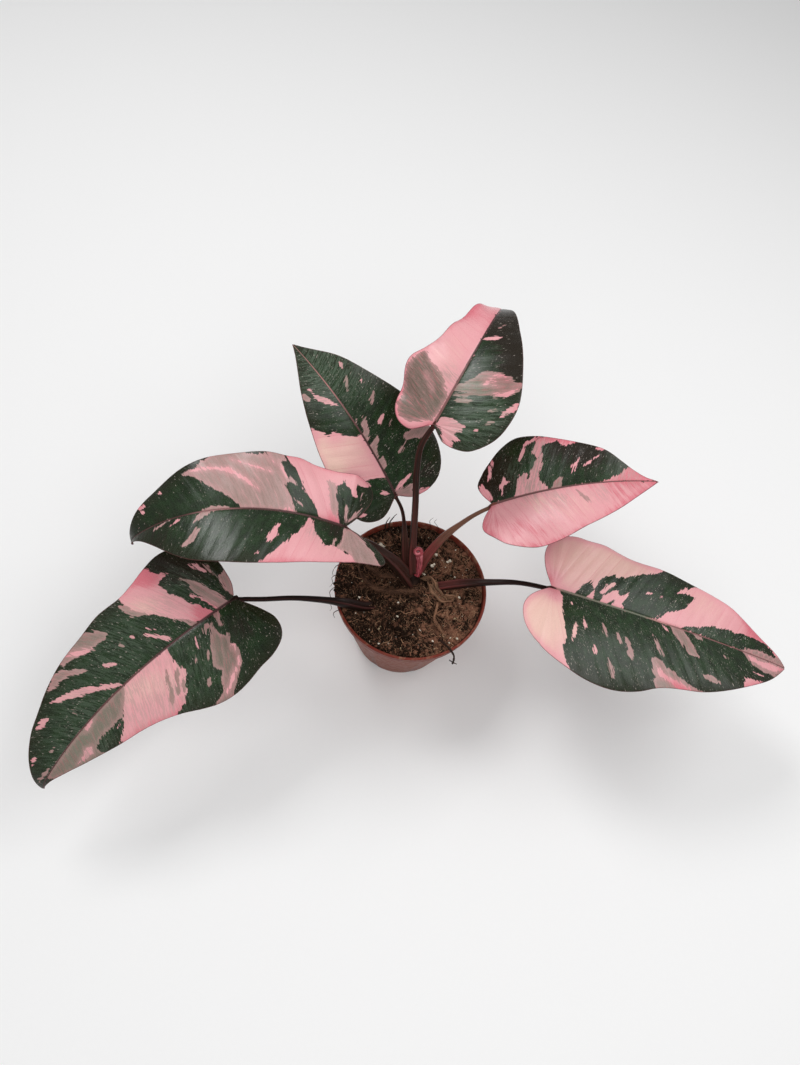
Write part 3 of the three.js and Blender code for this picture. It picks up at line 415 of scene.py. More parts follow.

# Hazy places, greyish on the pink and paler on the green, where the paler green is partly a painted sheen:
# (along, to the left, radius, strength).
HAZES_AND_SHEENS = {
    1: [(12, -24, 20, 1.0), (32, -11, 12, 1.0), (37, 9, 6, 0.8), (26, -36, 8, 0.7)],
    2: [(116, -8, 22, 1.0), (100, 6, 16, 0.6), (84, -16, 18, 0.5)],
    3: [(95, 16, 28, 0.35), (28, 14, 7, 0.6)],
    4: [(50, -9, 9, 0.55), (80, -8, 9, 0.45), (38, -24, 12, 0.2), (52, 9, 8, 0.3),
        (100, 6, 13, 0.55), (20, 22, 9, 0.5), (30, 5, 12, 1.0), (38, 22, 9, 0.9),
        (42, 34, 7, 0.9)],
    5: [(45, -32, 40, 0.2), (110, -25, 30, 0.25)],
    6: [(45, 20, 26, 0.5), (76, 32, 14, 0.55), (150, 12, 30, 0.8), (24, -30, 14, 0.6),
        (100, 26, 16, 0.45), (92, 8, 12, 0.3), (44, -24, 10, 0.3), (78, -22, 26, 0.7),
        (120, -8, 20, 0.5)],
}

# Places where the green is almost brown, as spots like the hazes.
DUSKS = {
    1: [(92, -18, 24, 0.8), (62, -34, 15, 0.7), (112, -10, 20, 0.7)],
    2: [(6, -30, 16, 0.4)],
    3: [(8, 4, 14, 0.5), (140, 10, 24, 0.4)],
    4: [(6, 20, 18, 0.9), (74, 28, 24, 0.6), (45, 40, 14, 0.5)],
    5: [(170, -20, 20, 0.3)],
    6: [(10, -36, 20, 0.5), (30, -50, 16, 0.4), (8, 20, 14, 0.4)],
}

# Soft changes of the pink: (along, to the left, radius, change), 1 is cream and -1 is rose; well above 1
# it turns to a darker peach that is partly painted shade.
TINTS = {
    1: [(45, 16, 26, 0.25), (98, 14, 16, -0.5), (5, 30, 8, -0.3), (47, -30, 10, -0.6)],
    2: [(62, 38, 9, 0.8), (42, 36, 10, 0.8), (50, 20, 26, 0.6), (26, 29, 9, -0.9),
        (65, 17, 6, -0.6)],
    3: [(15, 32, 22, 0.2), (30, 10, 9, -0.2), (27, -30, 14, 0.1), (10, -3, 9, -0.5),
        (52, 34, 10, -0.3)],
    4: [(16, -24, 9, -0.5), (30, -30, 9, -0.5), (66, -22, 12, 0.3), (34, -10, 14, 0.3),
        (92, -12, 16, -0.3), (-4, -18, 9, -0.4), (50, -12, 10, 0.1), (104, 6, 14, -0.6),
        (50, 36, 24, -0.35)],
    5: [(12, 30, 34, 0.6), (-2, -34, 30, 0.9), (55, 42, 26, 0.6), (162, 16, 11, -0.7),
        (118, 30, 22, 0.35), (42, 8, 10, -0.1), (95, -50, 12, -0.5), (4, -6, 7, -0.9),
        (-2, 7, 7, -0.6)],
    6: [(100, 22, 14, -0.35), (92, 10, 16, 0.6), (70, 20, 12, 0.3), (50, -34, 15, 0.55),
        (22, -6, 9, -0.8), (38, -47, 12, -1.0), (75, 36, 8, -0.4), (120, -20, 10, 0.2)],
}


# ---- curves and surfaces


def clamp01(value):
    return np.clip(value, 0.0, 1.0)


def smooth(value, low, high):
    share = clamp01((value - low) / (high - low))
    return share * share * (3 - 2 * share)


def bell(value, width):
    return np.exp(-((value / width) ** 2))


def angle_from(angle, start):
    """The angle beyond start, within half a turn either way."""
    return np.angle(np.exp(1j * (angle - start)))


def angles_round(count):
    return np.arange(count) / count * 2 * math.pi


def unit(vectors):
    return vectors / np.maximum(np.linalg.norm(vectors, axis=-1, keepdims=True), 1e-12)


def run_along(points):
    """The distance run from the first point to each."""
    return np.concatenate([[0], np.cumsum(np.linalg.norm(np.diff(points, axis=0), axis=1))])


def value_noise(points, seed=0):
    """Smooth noise from -1 to 1 at points (n, 3), with lattice cells one unit wide."""
    cell = np.floor(points).astype(np.int64)
    part = points - cell
    part = part * part * (3 - 2 * part)
    total = np.zeros(len(points))
    for corner in np.ndindex(2, 2, 2):
        c = cell + np.array(corner)
        mixed = (c[:, 0] * 73856093) ^ (c[:, 1] * 19349663) ^ (c[:, 2] * 83492791) ^ (seed * 2654435)
        mixed = (mixed ^ (mixed >> 13)) * 1274126177
        level = ((mixed ^ (mixed >> 16)) & 0xFFFF) / 32767.5 - 1
        share = np.prod(np.where(corner, part, 1 - part), axis=1)
        total += level * share
    return total


def fractal(points, size, octaves, seed):
    """Several octaves of noise, the widest with features size wide."""
    total = np.zeros(len(points))
    for octave in range(octaves):
        scale = 2.0**octave
        total += value_noise(points * scale / size + 17.3 * octave, seed + octave) / scale
    return total


def route_points(route, shares):
    """Points and directions at shares of a centripetal curve through route."""
    knots = np.array(route, float)
    padded = np.vstack([2 * knots[0] - knots[1], knots, 2 * knots[-1] - knots[-2]])
    at = shares * (len(knots) - 1)
    k = np.minimum(at.astype(int), len(knots) - 2)
    t = (at - k)[:, None]
    p0, p1, p2, p3 = (padded[k + i] for i in range(4))
    d0, d1, d2 = (
        np.sqrt(np.linalg.norm(b - a, axis=1))[:, None] for a, b in ((p0, p1), (p1, p2), (p2, p3))
    )
    m1 = ((p1 - p0) / d0 - (p2 - p0) / (d0 + d1) + (p2 - p1) / d1) * d1
    m2 = ((p2 - p1) / d1 - (p3 - p1) / (d1 + d2) + (p3 - p2) / d2) * d1
    c2 = -3 * p1 + 3 * p2 - 2 * m1 - m2
    c3 = 2 * p1 - 2 * p2 + m1 + m2
    points = p1 + m1 * t + c2 * t**2 + c3 * t**3
    ahead = m1 + 2 * c2 * t + 3 * c3 * t**2
    return points, ahead / np.linalg.norm(ahead, axis=1)[:, None]


def blade_axes(blade, u):
    """The directions along a blade, to its left and out of its upper side."""
    share = np.clip(u / blade["length"], 0, 1.05)
    heading = np.radians(blade["heading"] + blade["turn"] * share)
    near_tip = clamp01((share - 0.9) / 0.1)
    pitch = blade["pitch"] + blade["droop"] * share ** blade["power"] + blade["hook"] * near_tip**2
    pitch = np.radians(pitch)
    bank = np.radians(blade["bank"] + blade["twist"] * share)[..., None]
    level = np.stack([-np.sin(heading), np.cos(heading), 0 * heading], -1)
    ahead = np.stack(
        [np.cos(pitch) * np.cos(heading), np.cos(pitch) * np.sin(heading), np.sin(pitch)], -1
    )
    left = level * np.cos(bank) + np.cross(ahead, level) * np.sin(bank)
    return ahead, left, np.cross(ahead, left)


def midrib(blade):
    points = [np.array(blade["base"], float)]
    for u in np.arange(0, blade["length"], RIB_STEP):
        ahead, _, _ = blade_axes(blade, np.array(u + RIB_STEP / 2))
        points.append(points[-1] + ahead * RIB_STEP)
    return np.array(points)


def blade_points(blade, u, w, lift):
    """Points of the blade's middle surface, u along the midrib and w to its left."""
    rib = midrib(blade)
    ahead, left, up = blade_axes(blade, u)
    at = np.clip(u / RIB_STEP, 0, len(rib) - 1.001)
    k = at.astype(int)
    part = (at - k)[:, None]
    points = rib[k] * (1 - part) + rib[k + 1] * part + ahead * np.minimum(u, 0)[:, None]
    fold0, fold1 = blade["fold"]
    fold = np.radians(fold0 + (fold1 - fold0) * np.sqrt(clamp01(u / blade["length"])))
    bend = fold - blade["curl"] * np.abs(w)
    outward = (np.sin(fold) - np.sin(bend)) / blade["curl"]
    upward = (np.cos(bend) - np.cos(fold)) / blade["curl"]
    return points + left * (outward * np.sign(w))[:, None] + up * (upward + lift)[:, None]


def outline_points(text):
    """Points of an outline that is written as pairs with a comma between."""
    return np.array([pair.split(",") for pair in text.split()]).astype(float)


def outline_samples(outline):
    """EDGE_SAMPLES + 1 points, evenly spaced along a smooth curve through the outline."""
    knots = outline_points(outline)
    last = len(knots) - 1
    at = np.linspace(0, last, CURVE_SAMPLES)
    k = np.minimum(at.astype(int), last - 1)
    t = (at - k)[:, None]
    p0, p1, p2, p3 = (knots[np.clip(k + i, 0, last)] for i in (-1, 0, 1, 2))
    m1 = (p2 - p0) / 2
    m2 = (p3 - p1) / 2
    curve = (2 * p1 - 2 * p2 + m1 + m2) * t**3 + (-3 * p1 + 3 * p2 - 2 * m1 - m2) * t**2
    curve += m1 * t + p1
    run = run_along(curve)
    even = np.linspace(0, run[-1], EDGE_SAMPLES + 1)
    return np.stack([np.interp(even, run, curve[:, i]) for i in range(2)], 1), run[-1]


def vein_rows(blade, outline):
    """Rows of side veins, each (root on the midrib, place on the outline), lobe first."""
    samples, run = outline_samples(outline)
    start = samples[:, 0] - VEIN_SLANT * samples[:, 1]
    index = np.arange(EDGE_SAMPLES + 1)
    first = index[(index > SINUS_SAMPLES) & (start >= 0) & (samples[:, 0] > 0)][0]
    spacing = GRID_STEP * EDGE_SAMPLES / run
    rows = [(0.0, k) for k in np.linspace(0, first, int(first / spacing) + 2)]
    roots = np.linspace(0, blade["length"], int(blade["length"] / GRID_STEP) + 1)
    k_before = float(first)
    for root in roots[1:]:
        found = index[(index > first) & (start >= root)]
        k = float(found[0]) if len(found) else float(EDGE_SAMPLES)
        if root >= blade["length"]:
            k = float(EDGE_SAMPLES)
        elif len(found) and start[found[0] - 1] < root:
            rise = start[found[0]] - start[found[0] - 1]
            k -= (start[found[0]] - root) / rise
        extra = int((k - k_before) / (2 * spacing))
        previous = rows[-1][0]
        for i in range(1, extra + 1):
            rows.append((previous, k_before + (k - k_before) * i / (extra + 1)))
        rows.append((root, k))
        k_before = k
    rows = np.array(rows)
    edge = np.stack([np.interp(rows[:, 1], index, samples[:, i]) for i in range(2)], 1)
    return rows[:, 0], rows[:, 1] / EDGE_SAMPLES, edge, samples, first / EDGE_SAMPLES, run


# ---- meshes


def make_mesh(name, points, faces):
    """A mesh from points in mm."""
    mesh = bpy.data.meshes.new(name)
    mesh.from_pydata((np.asarray(points) * MM).tolist(), [], faces)
    return mesh


def make_object(name, points, faces, material):
    """A smooth mesh object from points in mm."""
    mesh = make_mesh(name, points, faces)
    mesh.validate()
    mesh.polygons.foreach_set("use_smooth", [True] * len(mesh.polygons))
    mesh.materials.append(material)
    mesh.update()
    return place_object(name, mesh)


def place_object(name, data):
    made = bpy.data.objects.new(name, data)
    bpy.context.scene.collection.objects.link(made)
    return made


def settle(piece, slot, *nodes):
    """Puts a finished piece on the body, and in place of the nodes that it stands for."""
    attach(piece, BODY)
    if nodes:
        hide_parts(*nodes)


def bake_modifiers(piece):
    """Turns what a piece's modifiers make into its own plain mesh."""
    bpy.context.view_layer.update()
    graph = bpy.context.evaluated_depsgraph_get()
    mesh = bpy.data.meshes.new_from_object(piece.evaluated_get(graph))
    piece.modifiers.clear()
    piece.data = mesh


def set_attribute(piece, name, values, kind="FLOAT"):
    attribute = piece.data.attributes.new(name, kind, "POINT")
    key = "vector" if kind == "FLOAT_VECTOR" else "value"
    attribute.data.foreach_set(key, np.asarray(values, np.float32).ravel())


def grid_faces(rows, columns, closed=True):
    """Quads over rows of points; closed joins the last point of each row to its first."""
    faces = []
    for r in range(rows - 1):
        for c in range(columns if closed else columns - 1):
            d = (c + 1) % columns
            faces.append((r * columns + c, r * columns + d, (r + 1) * columns + d,
                          (r + 1) * columns + c))
    return faces


def closed_skin(rows, first, last):
    """Points and faces over rings of points, closed at either end by a point."""
    around = len(rows[0])
    points = np.vstack(rows + [[first], [last]])
    faces = grid_faces(len(rows), around)
    low, high, end = len(points) - 2, len(points) - 1, len(points) - 2 - around
    faces += [(low, (k + 1) % around, k) for k in range(around)]
    faces += [(high, end + k, end + (k + 1) % around) for k in range(around)]
    return points, faces


def ring(radius, angle, z):
    """A row of points round the pot's axis."""
    return np.stack([radius * np.cos(angle), radius * np.sin(angle), 0 * angle + z], 1)


def swept(form, around, per_mm, section=None):
    """Points, faces and places along growth of a closed tube along form's route.

    section gives its outline from the share along the route and the angles round it, as complex
    numbers of about unit size, real to the side and imaginary upwards.
    """
    route = np.array(form["route"], float)
    steps = max(FEWEST_STEPS, int(np.linalg.norm(np.diff(route, axis=0), axis=1).sum() * per_mm))
    shares = np.linspace(0, 1, steps + 1)
    centre, ahead = route_points(route, shares)
    radius = np.interp(shares, np.linspace(0, 1, len(form["radii"])), form["radii"])
    radius = np.convolve(np.pad(radius, 2, mode="edge"), np.ones(5) / 5, mode="valid")
    side = unit(np.cross((0, 0, 1), ahead[0]))
    angle = angles_round(around)
    run = run_along(centre)
    rows, grain = [], []
    for i in range(steps + 1):
        side = unit(side - ahead[i] * np.dot(side, ahead[i]))
        top = np.cross(ahead[i], side)
        shape = np.exp(1j * angle) if section is None else section(shares[i], angle)
        shape = shape * radius[i]
        rows.append(centre[i] + side * shape.real[:, None] + top * shape.imag[:, None])
        grain.append(ring(GRAIN_RADIUS, angle, run[i]))
    bulge = ahead[[0, -1]] * radius[[0, -1], None] * END_BULGE
    points, faces = closed_skin(rows, rows[0].mean(axis=0) - bulge[0],
                                rows[-1].mean(axis=0) + bulge[1])
    places = np.vstack(grain + [[[0, 0, 0]], [[0, 0, run[-1]]]])
    return points, faces, places, places[:, 2] / run[-1]


def sweep(name, material, *tubes, tones=((0, 0), (1, 0))):
    """One piece made of closed tubes, each (form, points around, rows per mm, section)."""
    points, faces, places, shares = [], [], [], []
    offset = 0
    for tube in tubes:
        made, joined, where, share = swept(*tube)
        faces += [tuple(offset + i for i in face) for face in joined]
        offset += len(made)
        points.append(made)
        places.append(where)
        shares.append(share)
    piece = make_object(name, np.vstack(points), faces, material)
    set_attribute(piece, "grain_at", np.vstack(places), "FLOAT_VECTOR")
    set_attribute(piece, "tone", np.interp(np.concatenate(shares), *zip(*tones)))
    return piece


# ---- node helpers


class Web:
    """Adds nodes to a tree, and wires them from what it is given."""

    def __init__(self, tree):
        self.tree = tree

    def plug(self, node, **values):
        """Wires sockets, or sets them, by name with underscores for spaces."""
        for name, value in values.items():
            self.wire(node.inputs[name.replace("_", " ")], value)

    def wire(self, socket, value):
        if isinstance(value, bpy.types.NodeSocket):
            self.tree.links.new(value, socket)
        else:
            socket.default_value = value

    def node(self, kind, inputs=None, **settings):
        made = self.tree.nodes.new(kind)
        for name, value in settings.items():
            setattr(made, name, value)
        for key, value in (inputs or {}).items():
            self.wire(made.inputs[key], value)
        return made

    def out(self, kind, inputs=None, **settings):
        return self.node(kind, inputs, **settings).outputs[0]

    def math(self, operation, a, b=0.0, c=0.0, limit=False):
        return self.out("ShaderNodeMath", {0: a, 1: b, 2: c}, operation=operation, use_clamp=limit)

    def add(self, a, b):
        return self.math("ADD", a, b)

    def times(self, a, b):
        return self.math("MULTIPLY", a, b)

    def scale_add(self, a, b, c, limit=False):
        return self.math("MULTIPLY_ADD", a, b, c, limit)

    def vector(self, operation, a, b):
        return self.out("ShaderNodeVectorMath", {0: a, 1: b}, operation=operation)

    def stretch(self, vector, size):
        return self.out("ShaderNodeVectorMath", {0: vector, "Scale": size}, operation="SCALE")

    def mix(self, share, *colours):
        """Mixes two colours, each a socket or three numbers."""
        made = self.node("ShaderNodeMix", {0: share}, data_type="RGBA")
        for key, colour in zip((6, 7), colours):
            wired = isinstance(colour, bpy.types.NodeSocket)
            self.wire(made.inputs[key], colour if wired else (*colour, 1.0))
        return made.outputs[2]

    def ramp(self, value, low, high, to_low=0.0, to_high=1.0):
        wires = {0: value, 1: low, 2: high, 3: to_low, 4: to_high}
        return self.out("ShaderNodeMapRange", wires, interpolation_type="SMOOTHSTEP")

    def noise(self, vector, scale, detail=2.0, roughness=0.5, distortion=0.0):
        wires = {"Vector": vector, "Scale": scale, "Detail": detail, "Roughness": roughness,
                 "Distortion": distortion}
        return self.out("ShaderNodeTexNoise", wires)

    def attribute(self, name, output="Fac"):
        return self.node("ShaderNodeAttribute", attribute_name=name).outputs[output]

    def place(self, axis=None):
        """The place on the object, or one of its axes."""
        place = self.node("ShaderNodeTexCoord").outputs["Object"]
        return self.axis(place, axis) if axis else place

    def axis(self, vector, axis):
        return self.node("ShaderNodeSeparateXYZ", {0: vector}).outputs[axis]

    def group(self, name, **inputs):
        """The outputs of a shared group, wired by name."""
        made = self.node("ShaderNodeGroup", node_tree=bpy.data.node_groups[name])
        self.plug(made, **inputs)
        return made.outputs


def new_tree(name, kind, inputs, outputs):
    """A node tree with named sockets, each (name, kind) or (name, kind, default)."""
    tree = bpy.data.node_groups.new(name, kind)
    for direction, sockets in (("INPUT", inputs), ("OUTPUT", outputs)):
        for label, socket_kind, *default in sockets:
            socket = tree.interface.new_socket(label, in_out=direction,
                                               socket_type="NodeSocket" + socket_kind)
            if default:
                socket.default_value = default[0]
    web = Web(tree)
    return web, web.node("NodeGroupInput").outputs, web.node("NodeGroupOutput")


def floats(*names):
    return [(name, "Float") for name in names]


def new_material(name, roughness, specular=0.5):
    """A material with a Principled shader whose steady values are set on its own sockets."""
    material = bpy.data.materials.new(name)
    material.use_nodes = True
    web = Web(material.node_tree)
    web.plug(web.tree.nodes[SHADER], Roughness=roughness, Specular_IOR_Level=specular)
    return material, web


def finish(web, colour, height=None, distance=0.0, strength=1.0, **varying):
    """Wires what varies into the Principled shader, with height as a bump of its normal."""
    shader = web.tree.nodes[SHADER]
    web.plug(shader, Base_Color=colour, **varying)
    if height is not None:
        wires = {"Strength": strength, "Distance": distance, "Height": height}
        web.plug(shader, Normal=web.out("ShaderNodeBump", wires))


# ---- shared finishes


def make_streak_group():
    """Streaks that run along growth: fine lines, a coarse drift and a height for bump."""
    web, given, end = new_tree(
        "growth_streaks", "ShaderNodeTree",
        [("Place", "Vector"), ("Across", "Float", 1.0), ("Along", "Float", 0.1)],
        floats("Fine", "Drift", "Height"),
    )
    across = given["Across"]
    scale = web.out("ShaderNodeCombineXYZ", {0: across, 1: across, 2: given["Along"]})
    stretched = web.vector("MULTIPLY", given["Place"], scale)
    fine = web.noise(stretched, 1.0, 3.0, 0.6)
    drift = web.noise(stretched, 0.22)
    web.plug(end, Fine=fine, Drift=drift, Height=web.scale_add(fine, 0.7, drift))


def make_grain_group():
    """Fine grain of a moulded, earthy or barky surface, with a coarse mottle."""
    web, given, end = new_tree(
        "surface_grain", "ShaderNodeTree", [("Place", "Vector"), ("Size", "Float", 400.0)],
        floats("Grain", "Mottle", "Pits"),
    )
    place, size = given["Place"], given["Size"]
    cells = web.out("ShaderNodeTexVoronoi", {"Vector": place, "Scale": size})
    web.plug(end, Grain=web.noise(place, size, 4.0, 0.6), Pits=web.ramp(cells, 0.0, 0.45),
             Mottle=web.noise(place, web.times(size, 0.12), 3.0, 0.55))


def make_variegation_group():
    """Sectors and flecks of a blade, from its vein coordinates and its sector distances."""
    web, given, end = new_tree(
        "variegation", "ShaderNodeTree",
        [("Vein", "Vector"), ("Pink distance", "Float", 0.0), ("Grey distance", "Float", 0.0),
         ("Crowding", "Float", 0.5)],
        floats("Pink", "Grey", "Fleck", "Streak", "Patch", "Drift", "Pleat", "Marble"),
    )
    vein = given["Vein"]

    def along_veins(across, along, offset=(0, 0, 0)):
        return web.out("ShaderNodeMapping", {0: vein, 1: offset, 3: (across, along, 1)})

    def grain(across, along, offset=(0, 0, 0), detail=3.0, roughness=0.6, distortion=0.0):
        return web.noise(along_veins(across, along, offset), 1.0, detail, roughness, distortion)

    drift = web.noise(vein, 13.0)
    reach = web.ramp(grain(12, 9, (0, 3, 0), 1.0, 0.5), 0.35, 0.65, 1.5, 8.5)
    jag = web.scale_add(web.scale_add(grain(52, 8), 1.0, -0.5), reach, -1.8)
    nick = web.scale_add(grain(115, 21, (4, 0, 0), 2.0), 3.2, -1.6)
    shift = web.add(web.scale_add(drift, 3.6, jag), nick)
    pink = web.ramp(web.add(given["Pink distance"], shift), -0.16, 0.16)
    grey_at = web.add(given["Grey distance"], shift)
    grey = web.times(web.ramp(grey_at, -0.45, -0.1), web.ramp(grey_at, 0.0, 3.5, 0.7, 1.0))

    crowd = web.ramp(grain(8, 6, (1.7, 5, 0), 1.0, 0.5), 0.3, 0.7, 0.3, 1.5)
    crowd = web.times(crowd, given["Crowding"])
    fleck = 0.0
    for across, along, thin, share in ((165, 40, 0.17, 0.34), (80, 15, 0.08, 0.2),
                                       (44, 8, 0.06, 0.06)):
        wires = {"Vector": along_veins(across, along), "Scale": 1.0, "Randomness": 1.0}
        spots = web.node("ShaderNodeTexVoronoi", wires).outputs
        draw = web.node("ShaderNodeSeparateColor", {0: spots["Color"]}).outputs
        near = web.ramp(spots["Distance"], thin, thin + 0.12, 1.0, 0.0)
        chosen = web.math("GREATER_THAN", web.scale_add(crowd, share, draw[0]), 1.0)
        faint = web.scale_add(web.math("POWER", draw[1], 2.0), 0.8, 0.2)
        fleck = web.math("MAXIMUM", fleck, web.times(web.times(near, chosen), faint))

    web.plug(end, Pink=pink, Grey=grey, Fleck=fleck, Drift=drift,
             Streak=grain(120, 7, (0, 2, 0), 3.0, 0.65), Patch=grain(34, 5, (0, 7, 0)),
             Pleat=grain(36, 1.6, (5, 0, 0), 1.0, 0.4),
             Marble=grain(76, 10, (2, 9, 0), 4.0, 0.68, 0.6))


def make_shared_groups():
    if "variegation" not in bpy.data.node_groups:
        make_streak_group()
        make_grain_group()
        make_variegation_group()


def streaks_along(web, across, along):
    """The shared streaks, run along the growth of a swept piece."""
    place = web.attribute("grain_at", "Vector")
    return web.group("growth_streaks", Place=place, Across=across, Along=along)


def blade_material(colours):
    """The blade: green, pink and grey sectors, flecks, midrib, side veins, margin, underside."""
    material, web = new_material("blade_finish", 0.33, 0.36)
    vein = web.out("ShaderNodeUVMap", uv_map="vein")
    made = web.group("variegation", Vein=vein, Pink_distance=web.attribute("pink"),
                     Grey_distance=web.attribute("grey"), Crowding=web.attribute("flecks"))
    streak, patch, drift, marble = (made[k] for k in ("Streak", "Patch", "Drift", "Marble"))
    edge, under, tint = (web.attribute(k) for k in ("edge", "under", "tint"))
    # Hazy places: a grey veil on the pink, and on the green a paler grey green that is partly a painted
    # sheen.
    wisps = web.ramp(web.scale_add(streak, 0.5, marble), 0.7, 0.8)
    haze_and_sheen = web.times(web.attribute("haze_and_sheen"), web.scale_add(wisps, 0.85, 0.15))

    green = web.mix(web.ramp(drift, 0.35, 0.65), colours.green_dark, colours.green)
    green = web.mix(web.ramp(patch, 0.5, 0.72, 0.0, 0.5), green, colours.green_light)
    brown = web.ramp(web.scale_add(drift, -16.0, edge), -8.0, 6.0, 0.6, 0.0)
    dusk = web.ramp(web.scale_add(patch, 0.9, web.attribute("dusk")), 0.6, 1.0)
    green = web.mix(web.math("MAXIMUM", brown, dusk), green, colours.green_brown)
    # Paler grey green in the hazy places, partly a painted sheen.
    green = web.mix(web.times(haze_and_sheen, 0.8), green, colours.green_grey_and_sheen)

    phase = web.attribute("vein_phase")
    strength = web.out("ShaderNodeTexWhiteNoise", {"W": web.math("ROUND", phase)},
                       noise_dimensions="1D")
    line = web.ramp(web.math("PINGPONG", phase, 0.5), 0.012, 0.045, 1.0, 0.0)
    line = web.times(web.times(line, strength), web.attribute("vein_fade"))

    grain = web.scale_add(streak, 0.5, web.scale_add(patch, 0.5, -0.5))
    mottled = web.scale_add(grain, web.attribute("marbling"), tint)
    pink = web.mix(web.ramp(mottled, 0.0, 1.0), colours.pink, colours.cream)
    # Darker peach where the pink is most tinted: its own tan tone, darkened in part as painted shade.
    pink = web.mix(web.ramp(mottled, 1.0, 1.7), pink, colours.peach_and_shade)
    pink = web.mix(web.ramp(mottled, -0.05, -0.9), pink, colours.rose)
    pink = web.mix(web.times(line, 0.4), pink, colours.rose)
    pink = web.mix(haze_and_sheen, pink, colours.grey)

    veil = web.scale_add(patch, -0.5, web.add(web.attribute("veil"), 0.7))
    veil = web.scale_add(marble, -0.9, veil, limit=True)
    grey = web.mix(veil, colours.grey, colours.grey_dark)
    rosy = web.ramp(web.scale_add(streak, 0.6, marble), 0.84, 0.94)
    grey = web.mix(web.times(rosy, web.attribute("marks")), grey, colours.rose_dusk)
    grey = web.mix(web.ramp(grain, 0.07, 0.13, 0.0, 0.35), grey, pink)
    greener = web.times(web.attribute("haze_and_sheen"), web.ramp(marble, 0.35, 0.6, 0.9, 0.4))
    grey = web.mix(greener, grey, colours.grey_green)

    colour = web.mix(made["Fleck"], green, colours.fleck)
    colour = web.mix(made["Pink"], colour, pink)
    colour = web.mix(made["Grey"], colour, grey)
    rib_tone = web.attribute("rib_tone")
    rib = web.mix(web.math("MINIMUM", rib_tone, 1.0), colours.rib_dark, colours.rib_pale)
    rib = web.mix(web.ramp(rib_tone, 1.0, 2.0), rib, colours.rib_grey)
    colour = web.mix(web.attribute("rib"), colour, rib)
    colour = web.mix(web.ramp(edge, 0.1, 0.55, 0.7, 0.0), colour, colours.margin)
    colour = web.mix(under, colour, web.mix(0.55, colour, colours.under))

    cells = web.noise(web.place(), 1500.0, 3.0, 0.6)
    rough = web.scale_add(under, 0.2, web.ramp(cells, 0.3, 0.7, 0.23, 0.34))
    ripple = web.scale_add(streak, 0.3, web.times(made["Pleat"], 0.6))
    finish(web, colour, web.scale_add(cells, 0.25, ripple), 0.0005, 0.5, Roughness=rough)
    return material


def petiole_material(colours):
    """A waxy maroon stalk with wine red streaks along it, and wine red on the lips of its channel that is
    partly a painted highlight.
    """
    material, web = new_material("petiole_finish", 0.34, 0.16)
    made = streaks_along(web, 1.3, 0.07)
    fine, drift = made["Fine"], made["Drift"]
    red, ruddy, tone = (web.attribute(k) for k in ("red", "ruddy", "tone"))
    colour = web.mix(web.times(web.ramp(drift, 0.35, 0.62), ruddy), colours.stalk, colours.stalk_red)
    # Tan along fine streaks, partly a painted highlight.
    colour = web.mix(web.times(tone, web.ramp(fine, 0.3, 0.6, 0.55, 1.0)), colour, colours.stalk_tan_and_highlight)
    above = web.axis(web.attribute("grain_at", "Vector"), "Y")
    # Wine red along the lips of the channel, partly a painted highlight.
    lip = web.ramp(web.math("ABSOLUTE", web.math("SUBTRACT", above, 1.75)), 0.1, 0.55, 1.0, 0.0)
    lip = web.times(lip, web.ramp(drift, 0.35, 0.6, 0.25, 1.0))
    for share in (
        web.times(web.ramp(fine, 0.56, 0.78, 0.0, 0.5), ruddy),
        web.times(red, web.ramp(drift, 0.38, 0.6, 0.2, 1.0)),
        web.times(lip, web.scale_add(red, 1.6, 0.2, limit=True)),
    ):
        colour = web.mix(share, colour, colours.stalk_wine)
    finish(web, colour, made["Height"], 0.0002, 0.5, Roughness=web.ramp(fine, 0.3, 0.7, 0.26, 0.42))
    return material


def stem_material(colours):
    """Dark stem tissue with paler scars."""
    material, web = new_material("crown_finish", 0.6, 0.15)
    made = web.group("surface_grain", Place=web.place(), Size=900.0)
    colour = web.mix(web.ramp(made["Mottle"], 0.4, 0.75), colours.stalk, colours.root)
    finish(web, colour, made["Grain"], 0.0005, 0.7)
    return material


def pot_material(colours):
    """Thin moulded plastic, satin, with scuffs, a faint mottle and soil dust by the rim."""
    material, web = new_material("pot_finish", 0.42, 0.15)
    made = web.group("surface_grain", Place=web.place(), Size=2200.0)
    mottle, height = made["Mottle"], web.place("Z")
    colour = web.mix(web.ramp(height, 0.06, 0.09), colours.pot, colours.pot_rim)
    colour = web.mix(web.ramp(mottle, 0.4, 0.75, 0.0, 0.35), colour, colours.pot_worn)
    dust = web.ramp(web.noise(web.place(), 130.0, 5.0, 0.7), 0.52, 0.66)
    dust = web.times(dust, web.ramp(height, 0.07, 0.092))
    colour = web.mix(web.times(dust, 0.5), colour, colours.soil_light)
    finish(web, colour, made["Grain"], 0.0001, 0.4, Roughness=web.ramp(mottle, 0.35, 0.7, 0.36, 0.52))
    return material


def dryness(web):
    """How dry the soil is: in patches, and drier on the right and by the left rim."""
    spread = web.place("X")
    patches = web.ramp(web.noise(web.place(), 110.0, 3.0, 0.65), 0.4, 0.6, -0.55, 0.3)
    right = web.ramp(spread, 0.0, 0.035, 0.0, 0.85)
    left = web.ramp(spread, -0.03, -0.052, 0.0, 0.2)
    return web.add(web.add(patches, right), left)


